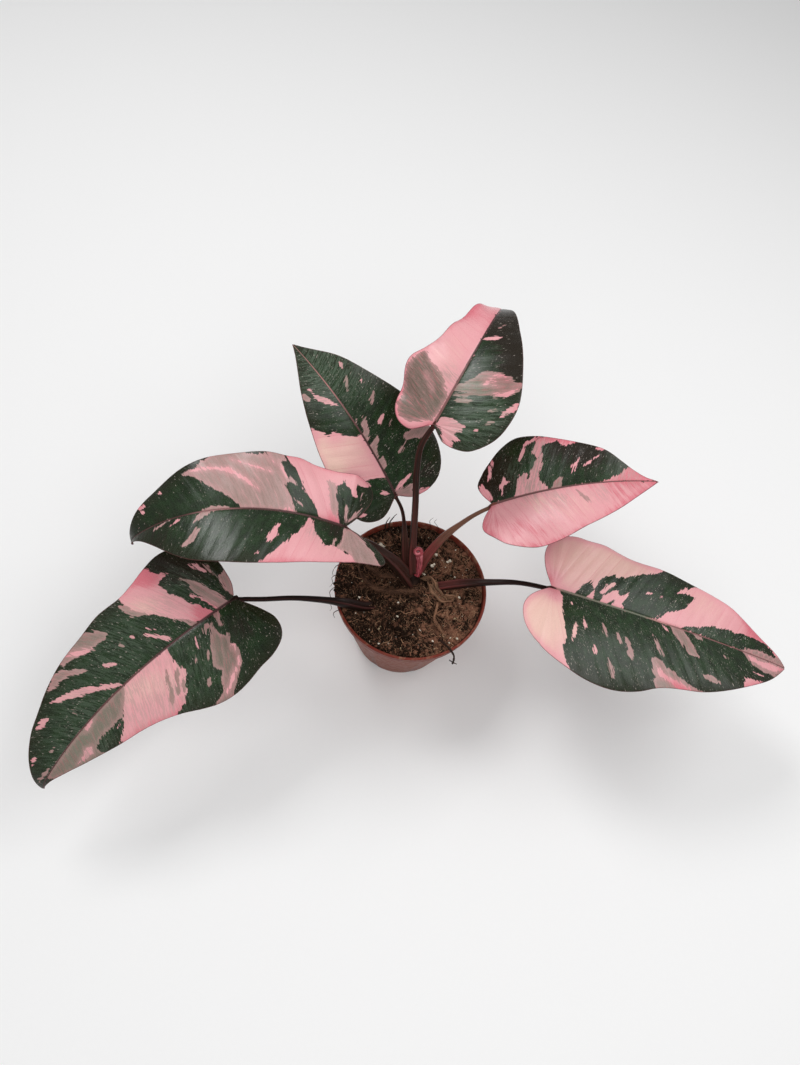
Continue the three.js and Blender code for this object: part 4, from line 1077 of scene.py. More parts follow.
def soil_material(colours):
    """Damp peat: darker in the hollows and browner on the crests, a painted shade by the height of the
    relief, and pale specks of coir dust.
    """
    material, web = new_material("peat_finish", 0.9, 0.1)
    made = web.group("surface_grain", Place=web.place(), Size=1300.0)
    # Darker where the relief is low and browner where it is high: painted shade.
    level = web.scale_add(made["Mottle"], 0.8, web.attribute("shaded_relief"))
    level = web.add(level, dryness(web))
    colour = web.mix(web.ramp(level, 0.5, 1.6), colours.soil, colours.soil_brown)
    specks = web.ramp(made["Grain"], 0.58, 0.66, 0.0, 0.75)
    finish(web, web.mix(specks, colour, colours.soil_light), made["Grain"], 0.0008, 0.9)
    return material


def tissue_material(name, dark, light, roughness):
    """Dead tissue whose fibres run along the piece."""
    material, web = new_material(name, roughness, 0.2)
    made = streaks_along(web, 1.6, 0.1)
    colour = web.mix(web.ramp(made["Fine"], 0.35, 0.68), dark, light)
    colour = web.mix(web.ramp(made["Drift"], 0.45, 0.8, 0.0, 0.5), colour, dark)
    finish(web, colour, made["Height"], 0.0004, 0.7)
    return material


def young_sheath_material(colours):
    """Waxy red tissue that pales to pink towards its rolled tip."""
    material, web = new_material("young_sheath_finish", 0.36)
    made = streaks_along(web, 1.1, 0.25)
    fine = made["Fine"]
    colour = web.mix(web.ramp(fine, 0.35, 0.65), colours.sheath_dark, colours.sheath)
    pale = web.mix(web.ramp(fine, 0.38, 0.6), colours.sheath, colours.sheath_pink)
    finish(web, web.mix(web.attribute("tone"), colour, pale), made["Height"], 0.0003, 0.5)
    return material


def grain_material(name, dark, light, roughness, dry=0.0):
    """Loose grains, each of its own tone between two colours, paler by dry where it is dry."""
    material, web = new_material(name, roughness, 0.12)
    made = web.group("surface_grain", Place=web.place(), Size=1500.0)
    tone = web.scale_add(made["Mottle"], 0.6, web.attribute("tone"))
    tone = web.scale_add(dryness(web), dry, tone)
    finish(web, web.mix(web.ramp(tone, 0.5, 1.5), dark, light), made["Pits"], 0.0003, 0.6)
    return material


# ---- blades


def polygon_distance(points, corners):
    """Distance in mm to a polygon's outline, positive inside it."""
    nearest = np.full(len(points), FAR)
    inside = np.zeros(len(points), bool)
    for a, b in zip(corners, np.roll(corners, -1, axis=0)):
        run = b - a
        share = clamp01((points - a) @ run / max(run @ run, 1e-9))
        nearest = np.minimum(nearest, np.linalg.norm(points - a - share[:, None] * run, axis=1))
        crosses = (a[1] > points[:, 1]) != (b[1] > points[:, 1])
        rise = run[1] if abs(run[1]) > 1e-9 else 1e-9
        inside ^= crosses & (points[:, 0] < a[0] + run[0] * (points[:, 1] - a[1]) / rise)
    return np.where(inside, nearest, -nearest)


def streak_distance(points, ends, half_width):
    """Distance to a streak that tapers at both ends, positive inside it."""
    a, b = ends
    run = b - a
    share = clamp01((points - a) @ run / (run @ run))
    away = np.linalg.norm(points - a - share[:, None] * run, axis=1)
    return half_width * np.maximum(4 * share * (1 - share), 0.03) ** 0.75 - away


def sector_fields(number, flat):
    """Signed distances to the pink and the grey sectors, painted in order over green."""
    pink = np.full(len(flat), -FAR)
    grey = np.full(len(flat), -FAR)
    painted = [(kind, polygon_distance(flat, outline_points(outline)))
               for kind, outline in SECTORS[number]]
    painted += [(kind, streak_distance(flat, outline_points(ends), half))
                for kind, ends, half in STREAKS[number]]
    for kind, distance in painted:
        grey = np.maximum(grey, distance) if kind == "grey" else np.minimum(grey, -distance)
        pink = np.minimum(pink, -distance) if kind == "green" else np.maximum(pink, distance)
    return np.clip(pink, -8, 8), np.clip(grey, -8, 8)


def soft_spots(flat, spots):
    """The sum of soft round spots, each (along, to the left, radius, strength)."""
    total = np.zeros(len(flat))
    for u, w, radius, strength in spots:
        total += strength * bell(np.hypot(flat[:, 0] - u, flat[:, 1] - w), radius)
    return total


def edge_distance(flat, outlines):
    """Distance in mm from points of the flat blade to its margin."""
    nearest = np.full(len(flat), FAR)
    for sign, samples in outlines:
        edge = samples * np.array([1, sign])
        for chunk in range(0, len(edge), EDGE_CHUNK):
            part = edge[chunk:chunk + EDGE_CHUNK]
            away = np.linalg.norm(flat[:, None, :] - part[None], axis=2).min(axis=1)
            nearest = np.minimum(nearest, away)
    return nearest


def blade_columns(longest):
    """Shares out along a side vein: close together by the midrib and by the margin."""
    inner = [0, 0.005, 0.011, 0.018, 0.027, 0.038]
    outer = [0.975, 0.99, 1.0]
    return np.concatenate([inner, np.linspace(0.055, 0.955, int(longest / GRID_STEP)), outer])


def flat_blade(blade):
    """The blade laid flat: points, vein coordinates, lifts, faces, their sides and the outlines."""
    flats, veins, lifts, faces, face_side, outlines = [], [], [], [], [], []
    offset = 0
    widths = [outline_points(blade[key])[:, 1].max() for key in ("left", "right")]
    columns = blade_columns(max(widths) * 1.15)
    for sign, key, wave in zip((1, -1), ("left", "right"), blade["wave"]):
        root, share, edge, samples, first, run = vein_rows(blade, blade[key])
        outlines.append((sign, samples))
        s = columns[None, :]
        arch = 1 + VEIN_ARCH * np.sqrt(clamp01(root / blade["length"]))[:, None]
        u = root[:, None] + (edge[:, :1] - root[:, None]) * s**arch
        w = edge[:, 1:] * s * sign
        height, count, phase = wave
        fade = np.sqrt(np.maximum(np.sin(math.pi * share), 0))[:, None]
        turns = (count * share + phase)[:, None]
        lift = height * s**2.5 * np.sin(2 * math.pi * turns) * fade
        length = np.hypot(edge[:, 0] - root, edge[:, 1])[:, None]
        across = np.where(share < first, -(first - share) * run * 0.6, root)[:, None]
        flats.append(np.stack([u, w], 2).reshape(-1, 2))
        veins.append(np.stack([across + 0 * s, length * s], 2).reshape(-1, 2))
        lifts.append(lift.ravel())
        for face in grid_faces(len(root), len(columns), closed=False):
            a, b, c, d = (offset + i for i in face)
            faces.append((a, d, c, b) if sign > 0 else (a, b, c, d))
            face_side.append(sign)
        offset += u.size
    flat = np.vstack(flats)
    _, keep, back = np.unique(np.round(flat, 4) + 0.0, axis=0, return_index=True,
                              return_inverse=True)
    back = back.ravel()
    welded, sides = [], []
    for face, sign in zip(faces, face_side):
        corners = list(dict.fromkeys(int(back[i]) for i in face))
        if len(corners) >= 3:
            welded.append(corners)
            sides.append(sign)
    return flat[keep], np.vstack(veins)[keep], np.concatenate(lifts)[keep], welded, sides, outlines


def solid_blade(middle, normals, half, below, faces, sides):
    """A closed solid round the middle surface, with a rounded margin.

    It gives the points, the middle point that each one comes from, the faces and their sides.
    """
    count = len(middle)
    directed = {}
    for face, sign in zip(faces, sides):
        for a, b in zip(face, face[1:] + face[:1]):
            directed[(a, b)] = sign
    margin = [(a, b, sign) for (a, b), sign in directed.items() if (b, a) not in directed]
    tangents = np.zeros_like(middle)
    for a, b, _ in margin:
        run = middle[b] - middle[a]
        tangents[a] += run
        tangents[b] += run
    outward = unit(np.cross(unit(tangents), normals))
    on_rim = sorted({a for a, _, _ in margin} | {b for _, b, _ in margin})
    rim_id = {v: 2 * count + i for i, v in enumerate(on_rim)}
    rim = middle[on_rim] + outward[on_rim] * half[on_rim][:, None] * 0.8
    points = np.vstack([middle + normals * half[:, None], middle - normals * below[:, None], rim])
    polygons = list(faces) + [[count + i for i in reversed(face)] for face in faces]
    poly_side = sides + sides
    for a, b, sign in margin:
        polygons.append([b, a, rim_id[a], rim_id[b]])
        polygons.append([rim_id[b], rim_id[a], count + a, count + b])
        poly_side += [sign, sign]
    source = np.concatenate([np.arange(count), np.arange(count), on_rim]).astype(int)
    return points, source, polygons, poly_side


def make_blade(number, material, sizes):
    """A blade as a closed solid, with the fields that its finish reads."""
    blade = BLADES[number]
    flat, vein, lift, faces, sides, outlines = flat_blade(blade)
    edge = edge_distance(flat, outlines)
    along, out = clamp01(flat[:, 0] / blade["length"]), np.abs(flat[:, 1])
    spacing = sizes.vein_spacing / MM
    phase = vein[:, 0] / spacing + 0.5 * (flat[:, 1] < 0)
    off_vein = np.abs(phase - np.round(phase)) * spacing
    fade = smooth(out, 1.0, 7.0) * smooth(edge, 0.5, 7.0)
    groove = bell(off_vein, 0.9) * fade
    quilt = np.cos(2 * math.pi * phase) * fade
    rib_mask = bell(out, 1.5 - 1.1 * along)
    middle = blade_points(blade, flat[:, 0], flat[:, 1], lift)
    normals = np.zeros_like(middle)
    for face in faces:
        p = middle[face]
        normals[face] += np.cross(p[2] - p[0], p[-1] - p[1])
    normals = unit(normals)
    slow = fractal(middle, 34.0, 2, seed=number) * smooth(out, 4, 30) * 0.9
    relief = slow - 0.09 * quilt * smooth(out, 3, 14) - 0.08 * groove - 0.45 * rib_mask
    middle = middle + normals * relief[:, None]

    half = sizes.blade_thickness / MM / 2
    half = np.where(edge < 2, half * (0.65 + 0.175 * edge), half)
    taper = 1 - 0.7 * along
    ridge = 1.5 * taper * bell(out, 1.3 * taper + 0.3) * smooth(flat[:, 0], -1.5, 3)
    points, source, polygons, poly_side = solid_blade(
        middle, normals, half, half + ridge + 0.14 * groove, faces, sides)
    piece = make_object(f"blade_{number}", points, polygons, material)

    pink, grey = sector_fields(number, flat)
    tint = soft_spots(flat, TINTS[number]) - 0.5 * bell(edge, 3.5) - 0.3 * bell(flat[:, 1], 4)
    fields = {
        "pink": pink, "grey": grey, "edge": edge, "vein_phase": phase, "vein_fade": fade,
        "tint": tint,
        "rib": smooth(rib_mask, 0.45, 0.85),
        "rib_tone": np.interp(flat[:, 0], *zip(*RIB_TONES[number])),
        "veil": np.where(flat[:, 1] > 0, *VEILS[number]),
        "haze_and_sheen": clamp01(soft_spots(flat, HAZES_AND_SHEENS[number])),
        "dusk": clamp01(soft_spots(flat, DUSKS[number])),
    }
    for name, table in (("flecks", FLECKS), ("marbling", MARBLING), ("marks", MARKS)):
        fields[name] = np.full(len(flat), table[number])
    for name, values in fields.items():
        set_attribute(piece, name, values[source])
    under = np.repeat([0.0, 1.0, 0.5], [len(flat), len(flat), len(points) - 2 * len(flat)])
    set_attribute(piece, "under", under)
    write_uvs(piece, "blade", flat[source] / 100, None, number)
    write_uvs(piece, "vein", vein[source] / 100, poly_side, number)
    return piece


def write_uvs(piece, name, values, poly_side, number):
    """A UV map from values at the points. Each half of a blade gets a stretch of its own."""
    mesh = piece.data
    layer = mesh.uv_layers.new(name=name)
    corners = np.zeros(len(mesh.loops), np.int32)
    mesh.loops.foreach_get("vertex_index", corners)
    uv = values[corners].copy()
    if poly_side is not None:
        totals = np.zeros(len(mesh.polygons), np.int32)
        mesh.polygons.foreach_get("loop_total", totals)
        side = np.repeat(np.array(poly_side), totals)
        uv[:, 0] += number * 7.3 + np.where(side > 0, 0.0, 3.1)
    layer.data.foreach_set("uv", uv.astype(np.float32).ravel())


# ---- stalks, roots and sheaths


def petiole_section(end, groove):
    """The channel along a stalk's upper side, with the raised lips of its sheath up to end."""

    def section(share, angle):
        sheathed = 1 - float(smooth(share, end - 0.05, end + 0.03))
        blade_end = 1 - float(smooth(share, 0.9, 1.0))
        away = angle_from(angle, math.pi / 2)
        channel = bell(away, 0.42) * (groove + 0.2 * sheathed) * blade_end
        lips = bell(np.abs(away) - 0.72, 0.3) * (0.05 + 0.16 * sheathed)
        return (1 - channel + lips) * np.exp(1j * angle)

    return section


def make_petiole(number, material):
    """A stalk up to its blade, where it runs on below the midrib, with a joint between them."""
    form, blade = PETIOLES[number], BLADES[number]
    ahead, _, up = (v[0] for v in blade_axes(blade, np.array([0.0])))
    base = np.array(blade["base"], float)
    rib = midrib(blade)
    route = list(form["route"]) + [base - up * SEAT + ahead * 1.5]
    for u, below in ((9.0, 1.5), (22.0, 1.1)):
        _, _, lift = (v[0] for v in blade_axes(blade, np.array([u])))
        route.append(rib[int(u / RIB_STEP)] - lift * below)
    sheath = form["sheath"] * len(form["route"]) / (len(route) - 1)
    tube = dict(route=route, radii=form["radii"] + [1.35, 0.8])
    joint = dict(route=[base - ahead * 3.6 - up * 2.6, base - up * 1.7, base + ahead * 4 - up * 1.2],
                 radii=[1.3, 2.2, 2.1, 0.9])
    stalk = sweep(f"stalk_{number}", material, (tube, 28, 1.2, petiole_section(sheath, form["groove"])),
                  (joint, 16, 2.0), tones=STALK_TONES[number])
    grown = np.zeros(len(stalk.data.vertices) * 3, np.float32)
    stalk.data.attributes["grain_at"].data.foreach_get("vector", grown)
    foot = 1 - smooth(grown[2::3] / grown[2::3].max(), sheath * 0.55, sheath)
    set_attribute(stalk, "red", foot * FOOT_REDS[number])
    set_attribute(stalk, "ruddy", np.full(len(foot), RUDDY[number]))
    return stalk


def ringed_section(share, angle):
    """The outline of the crown, ringed by the scars of old leaves."""
    bulge = 1 + 0.07 * np.cos(share * 34) + 0.05 * np.sin(3 * angle + 6 * share)
    return bulge * np.exp(1j * angle)


def bark_section(seed, scale=30.0, depth=0.16):
    """A round outline with the lumps of root bark."""

    def section(share, angle):
        at = ring(1.6, angle, share * scale)
        bulge = 1 + depth * value_noise(at, seed) + depth * 0.6 * value_noise(at * 2.3, seed + 1)
        return bulge * np.exp(1j * angle)

    return section


def twig(route, radius, shares, around, seed):
    """A thin root along route, whose radii are shares of radius."""
    form = dict(route=route, radii=[radius * share for share in shares])
    return form, around, 1.5, bark_section(seed, 8.0)


def pebble(seed, x, y, size):
    """A loose grain on the soil, as a short closed tube."""
    z = soil_height(x, y) + 0.9
    route = [(x - size, y, z), (x - size * 0.4, y + 0.2, z + 0.2), (x + size * 0.4, y, z),
             (x + size, y + 0.1, z - 0.2)]
    form = dict(route=route, radii=[size * k for k in (0.35, 0.85, 1.0, 0.75, 0.3)])
    return form, 16, 6.0, bark_section(seed, 5.0, 0.42)


def creased_section(share, angle):
    """A young sheath: keeled along its back and creased where it folds over."""
    crease = 0.2 * bell(angle_from(angle - 1.2, 1.5 * share), 0.3)
    keel = 0.12 * bell(angle_from(angle, -1.5), 0.35)
    fold = 0.1 * np.sin(2 * angle + 9 * share) * smooth(share, 0.5, 0.8)
    return (1 - crease + keel + fold) * np.exp(1j * angle)


def husk_section(share, angle):
    """A dead sheath: a thin crumpled trough, open along its upper side."""
    turn = angle / (2 * math.pi)
    outside = turn < 0.5
    across = np.where(outside, 2 * turn, 2 - 2 * turn)
    bent = np.radians(125 + 290 * across)
    crumple = 1 + 0.2 * np.sin(4 * math.pi * across + 11 * share)
    crumple = crumple + 0.14 * np.sin(31 * share + 5 * across) + 0.08 * np.sin(17 * across)
    depth = np.where(outside, 1.0, 0.84) * crumple
    return depth * (np.cos(bent) + 0.55j * np.sin(bent))


def curl_route():
    """The rolled tip of the young sheath, wound round its knob."""
    turns = np.linspace(-0.6 * math.pi, 1.9 * math.pi, 14)[:, None]
    side, upward, outward = np.array([[1, 0, 0], [0, 0.87, 0.48], [0, -0.48, 0.87]])
    reach = 2.7 - 0.5 * turns / math.pi
    return KNOB + reach * (np.cos(turns) * side + np.sin(turns) * upward) + outward * 0.2 * turns


# ---- pot and soil


def make_pot(material):
    """The thin shell with its collar, its rolled rim and the drain holes cut round its base."""
    base, rim, height, wall = (POT[key] for key in ("base", "rim", "height", "wall"))
    corner, inside, floor = POT["shoulder"], rim - POT["lip"], POT["floor"]
    shoulder = height - POT["collar"]
    profile = [
        (base - 6, 0.0), (base - 1.6, 0.0), (base - 0.4, 0.3), (base, 1.3), (base + 0.35, 3.0),
        (corner - 0.35, shoulder - 2.6), (corner, shoulder - 0.8), (corner + 0.5, shoulder - 0.1),
        (rim - 1.9, shoulder + 0.1), (rim - 1.2, shoulder + 0.7), (rim - 0.75, shoulder + 3),
        (rim - 0.6, height - 3.4), (rim - 0.45, height - 2.6), (rim - 0.1, height - 2.2),
        (rim, height - 1.6), (rim - 0.02, height - 0.8), (rim - 0.3, height - 0.25),
        (rim - 0.8, height), (inside + 0.6, height), (inside + 0.15, height - 0.25),
        (inside - 0.05, height - 1), (inside - 0.4, shoulder + 1.2),
        (corner - wall - 0.1, shoulder - 1.2), (base - wall + 0.4, floor + 0.5),
        (base - wall - 1, floor),
    ]
    angle = angles_round(POT["around"])
    rows = [ring(radius, angle, z) for radius, z in profile]
    piece = make_object("pot_shell", *closed_skin(rows, (0, 0, 0), (0, 0, floor)), material)
    for i in range(POT["drains"]):
        turn = (i + 0.5) / POT["drains"] * 2 * math.pi
        place = Matrix.Rotation(turn, 4, "Z")
        place = place @ Matrix.Translation(((base - wall) * MM, 0, 0))
        place = place @ Matrix.Rotation(math.radians(-POT["drain_tilt"]), 4, "Y")
        bpy.ops.mesh.primitive_cylinder_add(vertices=24, radius=POT["drain_radius"] * MM,
                                            depth=POT["drain_depth"] * MM)
        cutter = bpy.context.object
        cutter.matrix_world = place
        cut = piece.modifiers.new("drain", "BOOLEAN")
        cut.operation = "DIFFERENCE"
        cut.object = cutter
        bake_modifiers(piece)
        bpy.data.objects.remove(cutter)
    return piece


def soil_height(x, y):
    """Height of the smooth soil, with its mound at the crown and its heap by the rim."""
    mound = SOIL["mound"] * bell(np.hypot(x - CROWN[0], y - CROWN[1]), SOIL["mound_radius"])
    away = angle_from(np.arctan2(y, x), math.radians(SOIL["heap_angle"]))
    share = np.exp(-((away / math.radians(SOIL["heap_width"])) ** 4))
    reach = smooth(np.hypot(x, y), SOIL["heap_start"], SOIL["heap_start"] + SOIL["heap_run"])
    return SOIL["level"] + mound + SOIL["heap"] * share * reach


def soil_surface(radius, angle):
    """A row of points on the soil, with the clods and crumbs of its relief."""
    row = ring(radius, angle, 0.0)
    lumps = 1 - 2 * np.abs(fractal(row, 11.0, 3, seed=5))
    crumbs = np.abs(fractal(row, 3.6, 3, seed=9))
    row[:, 2] = soil_height(row[:, 0], row[:, 1]) + (lumps - 1.1 + 1.4 * crumbs)
    return row


def make_soil(material):
    """The soil down to the floor of the pot, with a ragged edge where it spills over the rim."""
    angle =angles_round(SOIL["around"])
    edge = POT["rim"] - POT["lip"] - SOIL["gap"]
    shoulder, top, spill = POT["height"] - POT["collar"], POT["height"], SOIL["spill"]
    rings = SOIL["rings"]
    rows = [soil_surface(radius, angle) for radius in edge * np.arange(1, rings + 1) / rings]
    at_edge = rows[-1][:, 2]
    over = np.clip(at_edge - top - 0.6, 0, 1) * spill
    ragged = over * (1 + 0.5 * value_noise(ring(edge, angle, 0.0) / 2.5, 3))
    for share, drop in ((0.4, 0.3), (0.8, 1.0), (1.0, 1.9)):
        low = np.where(over > 0.05, top + 0.2, at_edge - 0.2 * share)
        rows.append(ring(edge + ragged * share, angle, np.maximum(at_edge - drop * over / spill, low)))
    under = np.where(over > 0.05, top + 0.15, at_edge - 0.5)
    for radius, z in ((edge + ragged, under), (edge, under - 0.2), (edge, shoulder + 1.4),
                      (POT["shoulder"] - POT["wall"] - 0.4, shoulder - 0.8),
                      (POT["base"] - POT["wall"], POT["floor"] + 0.3)):
        rows.append(ring(radius, angle, z))
    points, faces = closed_skin(rows, (0, 0, soil_height(0.0, 0.0)), (0, 0, POT["floor"] + 0.3))
    piece = make_object("peat", points, [tuple(reversed(face)) for face in faces], material)
    # Height of the relief, which paints shade in the hollows of the soil.
    shaded_relief = points[:, 2] - soil_height(points[:, 0], points[:, 1])
    set_attribute(piece, "shaded_relief", np.clip(shaded_relief * 0.35, -0.5, 0.5))
    return piece


def make_bed(margin):
    """A sheet over the soil, for scattering on."""
    angle = angles_round(SOIL["bed_around"])
    edge, rings = POT["rim"] - POT["lip"] - margin, SOIL["bed_rings"]
    rows = [soil_surface(radius, angle) for radius in edge * np.arange(0, rings + 1) / rings]
    rows[0][:, 0] += np.arange(len(angle)) * 1e-4
    faces = [tuple(reversed(face)) for face in grid_faces(len(rows), len(angle))]
    return make_mesh("bed", np.vstack(rows), faces)


# ---- scattering


def begin_scatter(name, inputs):
    """A Geometry Nodes tree with named inputs, and points spread over what it is given."""
    web, given, end = new_tree(
        name, "GeometryNodeTree",
        [("Geometry", "Geometry"), ("Density", "Float", 1000.0), ("Seed", "Int", 1), *inputs,
         ("Material", "Material")],
        [("Geometry", "Geometry")],
    )
    wires = {"Mesh": given["Geometry"], "Density": given["Density"], "Seed": given["Seed"]}
    points = web.out("GeometryNodeDistributePointsOnFaces", wires)
    return web, given, end, points


def random_value(web, given, low, high, step):
    """A random number or vector for each point, the same for the same seed and step."""
    kind, start = ("FLOAT_VECTOR", 0) if isinstance(low, tuple) else ("FLOAT", 2)
    wires = {start: low, start + 1: high, 8: web.add(given["Seed"], step)}
    return web.node("FunctionNodeRandomValue", wires, data_type=kind).outputs[start // 2]


def random_size(web, given, low, high, rarity):
    """A size for each point between two inputs; the higher the rarity, the fewer are large."""
    pick = web.math("POWER", random_value(web, given, 0.0, 1.0, 1.0), rarity)
    return web.scale_add(pick, web.math("SUBTRACT", given[high], given[low]), given[low])


def pushed(web, shape, offset, scale, reach):
    """A shape pushed about by noise."""
    place = web.vector("ADD", web.out("GeometryNodeInputPosition"), offset)
    push = web.node("ShaderNodeTexNoise", {"Vector": place, "Scale": scale, "Detail": 1.0})
    push = web.vector("SUBTRACT", push.outputs["Color"], (0.5, 0.5, 0.5))
    wires = {"Geometry": shape, "Offset": web.vector("MULTIPLY", push, reach)}
    return web.out("GeometryNodeSetPosition", wires)


def end_scatter(web, given, end, points, shapes, turn, scale):
    """Puts a shape on each point, with a tone of its own, and makes them one mesh."""
    variants = web.node("GeometryNodeJoinGeometry")
    for shape in shapes:
        web.wire(variants.inputs[0], web.out("GeometryNodeGeometryToInstance", {0: shape}))
    wires = {"Points": points, "Instance": variants.outputs[0], "Pick Instance": True,
             "Rotation": turn, "Scale": scale}
    placed = web.out("GeometryNodeInstanceOnPoints", wires)
    wires = {"Geometry": placed, "Name": "tone", "Value": random_value(web, given, 0.0, 1.0, 5.0)}
    toned = web.out("GeometryNodeStoreNamedAttribute", wires, data_type="FLOAT", domain="INSTANCE")
    solid = web.out("GeometryNodeRealizeInstances", {"Geometry": toned})
    wires = {"Geometry": solid, "Material": given["Material"]}
    web.plug(end, Geometry=web.out("GeometryNodeSetMaterial", wires))
    return web.tree


def make_grain_scatter():
    """Rough grains of many sizes, most of them small."""
    web, given, end, points = begin_scatter(
        "scatter_grains",
        [("Smallest", "Float", 0.0004), ("Largest", "Float", 0.0015), ("Rarity", "Float", 3.0),
         ("Fineness", "Int", 1)],
    )
    shapes = []
    for variant in range(4):
        wires = {"Radius": 1.0, "Subdivisions": given["Fineness"]}
        ball = web.out("GeometryNodeMeshIcoSphere", wires)
        shapes.append(pushed(web, ball, (9.0 * variant, 0, 0), 1.1, (1.6, 1.6, 1.6)))
    turn = random_value(web, given, (0.0, 0.0, 0.0), (TURN, TURN, TURN), 0.0)
    shape = random_value(web, given, (0.7, 0.7, 0.5), (1.3, 1.3, 0.9), 2.0)
    size = random_size(web, given, "Smallest", "Largest", given["Rarity"])
    return end_scatter(web, given, end, points, shapes, turn, web.stretch(shape, size))


def make_fibre_scatter():
    """Thin fibres, each one of a few bent shapes, lying about on the surface."""
    web, given, end, points = begin_scatter(
        "scatter_fibres",
        [("Shortest", "Float", 0.004), ("Longest", "Float", 0.014), ("Thickness", "Float", 0.012),
         ("Tilt", "Float", 0.3)],
    )
    wires = {"Resolution": 4, "Radius": given["Thickness"]}
    profile = web.out("GeometryNodeCurvePrimitiveCircle", wires)
    shapes = []
    for variant in range(7):
        wires = {"Start": (-0.5, 0, 0), "End": (0.5, 0, 0)}
        line = web.out("GeometryNodeCurvePrimitiveLine", wires)
        line = web.out("GeometryNodeResampleCurve", {"Curve": line, "Count": 9})
        bent = pushed(web, line, (5.0 * variant, 3.0, 0), 1.4 + 0.25 * variant, (0.9, 1.9, 0.45))
        wires = {"Curve": bent, "Profile Curve": profile, "Fill Caps": True}
        shapes.append(web.out("GeometryNodeCurveToMesh", wires))
    angle = random_value(web, given, 0.0, TURN, 0.0)
    lean = web.times(random_value(web, given, -1.0, 1.0, 3.0), given["Tilt"])
    roll = random_value(web, given, -0.7, 0.7, 4.0)
    turn = web.out("ShaderNodeCombineXYZ", {0: roll, 1: lean, 2: angle})
    size = random_size(web, given, "Shortest", "Longest", 2.0)
    return end_scatter(web, given, end, points, shapes, turn, size)


def scatter(name, tree, count, bed, slot, **inputs):
    """Scatters a piece over a bed by a Geometry Nodes tree, as a plain mesh."""
    piece = place_object(name, bed)
    made = piece.modifiers.new("scatter", "NODES")
    made.node_group = tree
    given = dict(inputs, Density=count / sum(face.area for face in bed.polygons))
    for socket in tree.interface.items_tree:
        if socket.in_out == "INPUT" and socket.name in given:
            made[socket.identifier] = given[socket.name]
    bake_modifiers(piece)
    piece.data.polygons.foreach_set("use_smooth", [True] * len(piece.data.polygons))
    settle(piece, slot)


# ---- stage

CAMERA = {
    "place": (-0.01699, -0.26930, 0.65875), "down": 61.0, "roll": 11.5,
    "focal": 800.0, "frame_long": 1065.0, "sensor": 36.0, "nearest": 0.01,
}
# Each light as (name, place in m, side in m, power in W, whether gloss mirrors it).
LIGHTS = [
    ("front", (0.2, -0.7, 1.4), 1.3, 10.2, False),
    ("window", (-0.7, 0.58, 1.35), 0.5, 7.6, True),
    ("side", (0.66, 0.4, 1.16), 0.7, 4.3, True),
]
LIGHTS_AIM = (0, 0, 0.1)
ROOM_LIGHT = 0.34
FLOOR_HALF = 6000.0


def make_camera(scene):
    """The camera, tilted down by its first angle and rolled by the second."""
    data =bpy.data.cameras.new("camera")
    data.sensor_width = CAMERA["sensor"]
    data.lens = CAMERA["focal"] * CAMERA["sensor"] / CAMERA["frame_long"]
    data.clip_start = CAMERA["nearest"]
    camera = place_object("camera", data)
    down, roll = math.radians(CAMERA["down"]), math.radians(CAMERA["roll"])
    back = Vector((0, -math.cos(down), math.sin(down)))
    right = Vector((1, 0, 0))
    up = back.cross(right)
    turned_right = right * math.cos(roll) + up * math.sin(roll)
    turned_up = up * math.cos(roll) - right * math.sin(roll)
    turn = Matrix((turned_right, turned_up, back)).transposed()
    camera.matrix_world = Matrix.Translation(CAMERA["place"]) @ turn.to_4x4()
    scene.camera = camera


def make_lights(scene):
    """Soft lights, and the even light of a room."""
    for name, place, size, power, mirrored in LIGHTS:
        lamp = bpy.data.lights.new(name, "AREA")
        lamp.size = size
        lamp.energy = power
        light = place_object(name, lamp)
        light.visible_glossy = mirrored
        turn = (Vector(LIGHTS_AIM) - Vector(place)).to_track_quat("-Z", "Y").to_matrix()
        light.matrix_world = Matrix.Translation(place) @ turn.to_4x4()
    world = bpy.data.worlds.new("soft_room")
    world.use_nodes = True
    background = world.node_tree.nodes["Background"]
    background.inputs[0].default_value = (1.0, 1.0, 1.0, 1.0)
    background.inputs[1].default_value = ROOM_LIGHT
    scene.world = world
    scene.view_settings.view_transform = "Standard"


def make_floor(colours):
    material, web = new_material("floor_finish", 0.9)
    paper = web.ramp(web.noise(web.place(), 300.0, 3.0, 0.6), 0.3, 0.7, 0.0, 0.04)
    finish(web, web.mix(paper, colours.floor, colours.floor_grain))
    corners = [(x * FLOOR_HALF, y * FLOOR_HALF, 0) for x, y in ((-1, -1), (1, -1), (1, 1), (-1, 1))]
    mesh = make_mesh("floor", corners, [(0, 1, 2, 3)])
    mesh.materials.append(material)
    place_object("floor", mesh)


# ---- add-on


def plant(context):
    return context.scene.philodendron_sizes, context.scene.philodendron_colours


class PlantSizes(bpy.types.PropertyGroup):
    """Sizes of the fine work on the plant."""

    blade_thickness: FloatProperty(name="Blade thickness", unit="LENGTH", default=0.0006,
                                   description="Thickness in the middle of a blade")
    vein_spacing: FloatProperty(name="Vein spacing", unit="LENGTH", default=0.0095,
                                description="Distance between side veins along the midrib")
    crumbs: IntProperty(name="Crumbs", default=5000, description="Crumbs on the soil")
    clods: IntProperty(name="Clods", default=220, description="Larger clods on the soil")
    fibres: IntProperty(name="Fibres", default=1800, description="Coir fibres on the soil")
    perlite: IntProperty(name="Perlite", default=260, description="Perlite grains on the soil")
    hairs: IntProperty(name="Hairs", default=420, description="Hairs on a root, times its share")


def paint(label, red, green, blue):
    return FloatVectorProperty(name=label, description="Colour of " + label.lower(),
                               subtype="COLOR", size=3, min=0.0, max=1.0,
                               default=(red, green, blue))


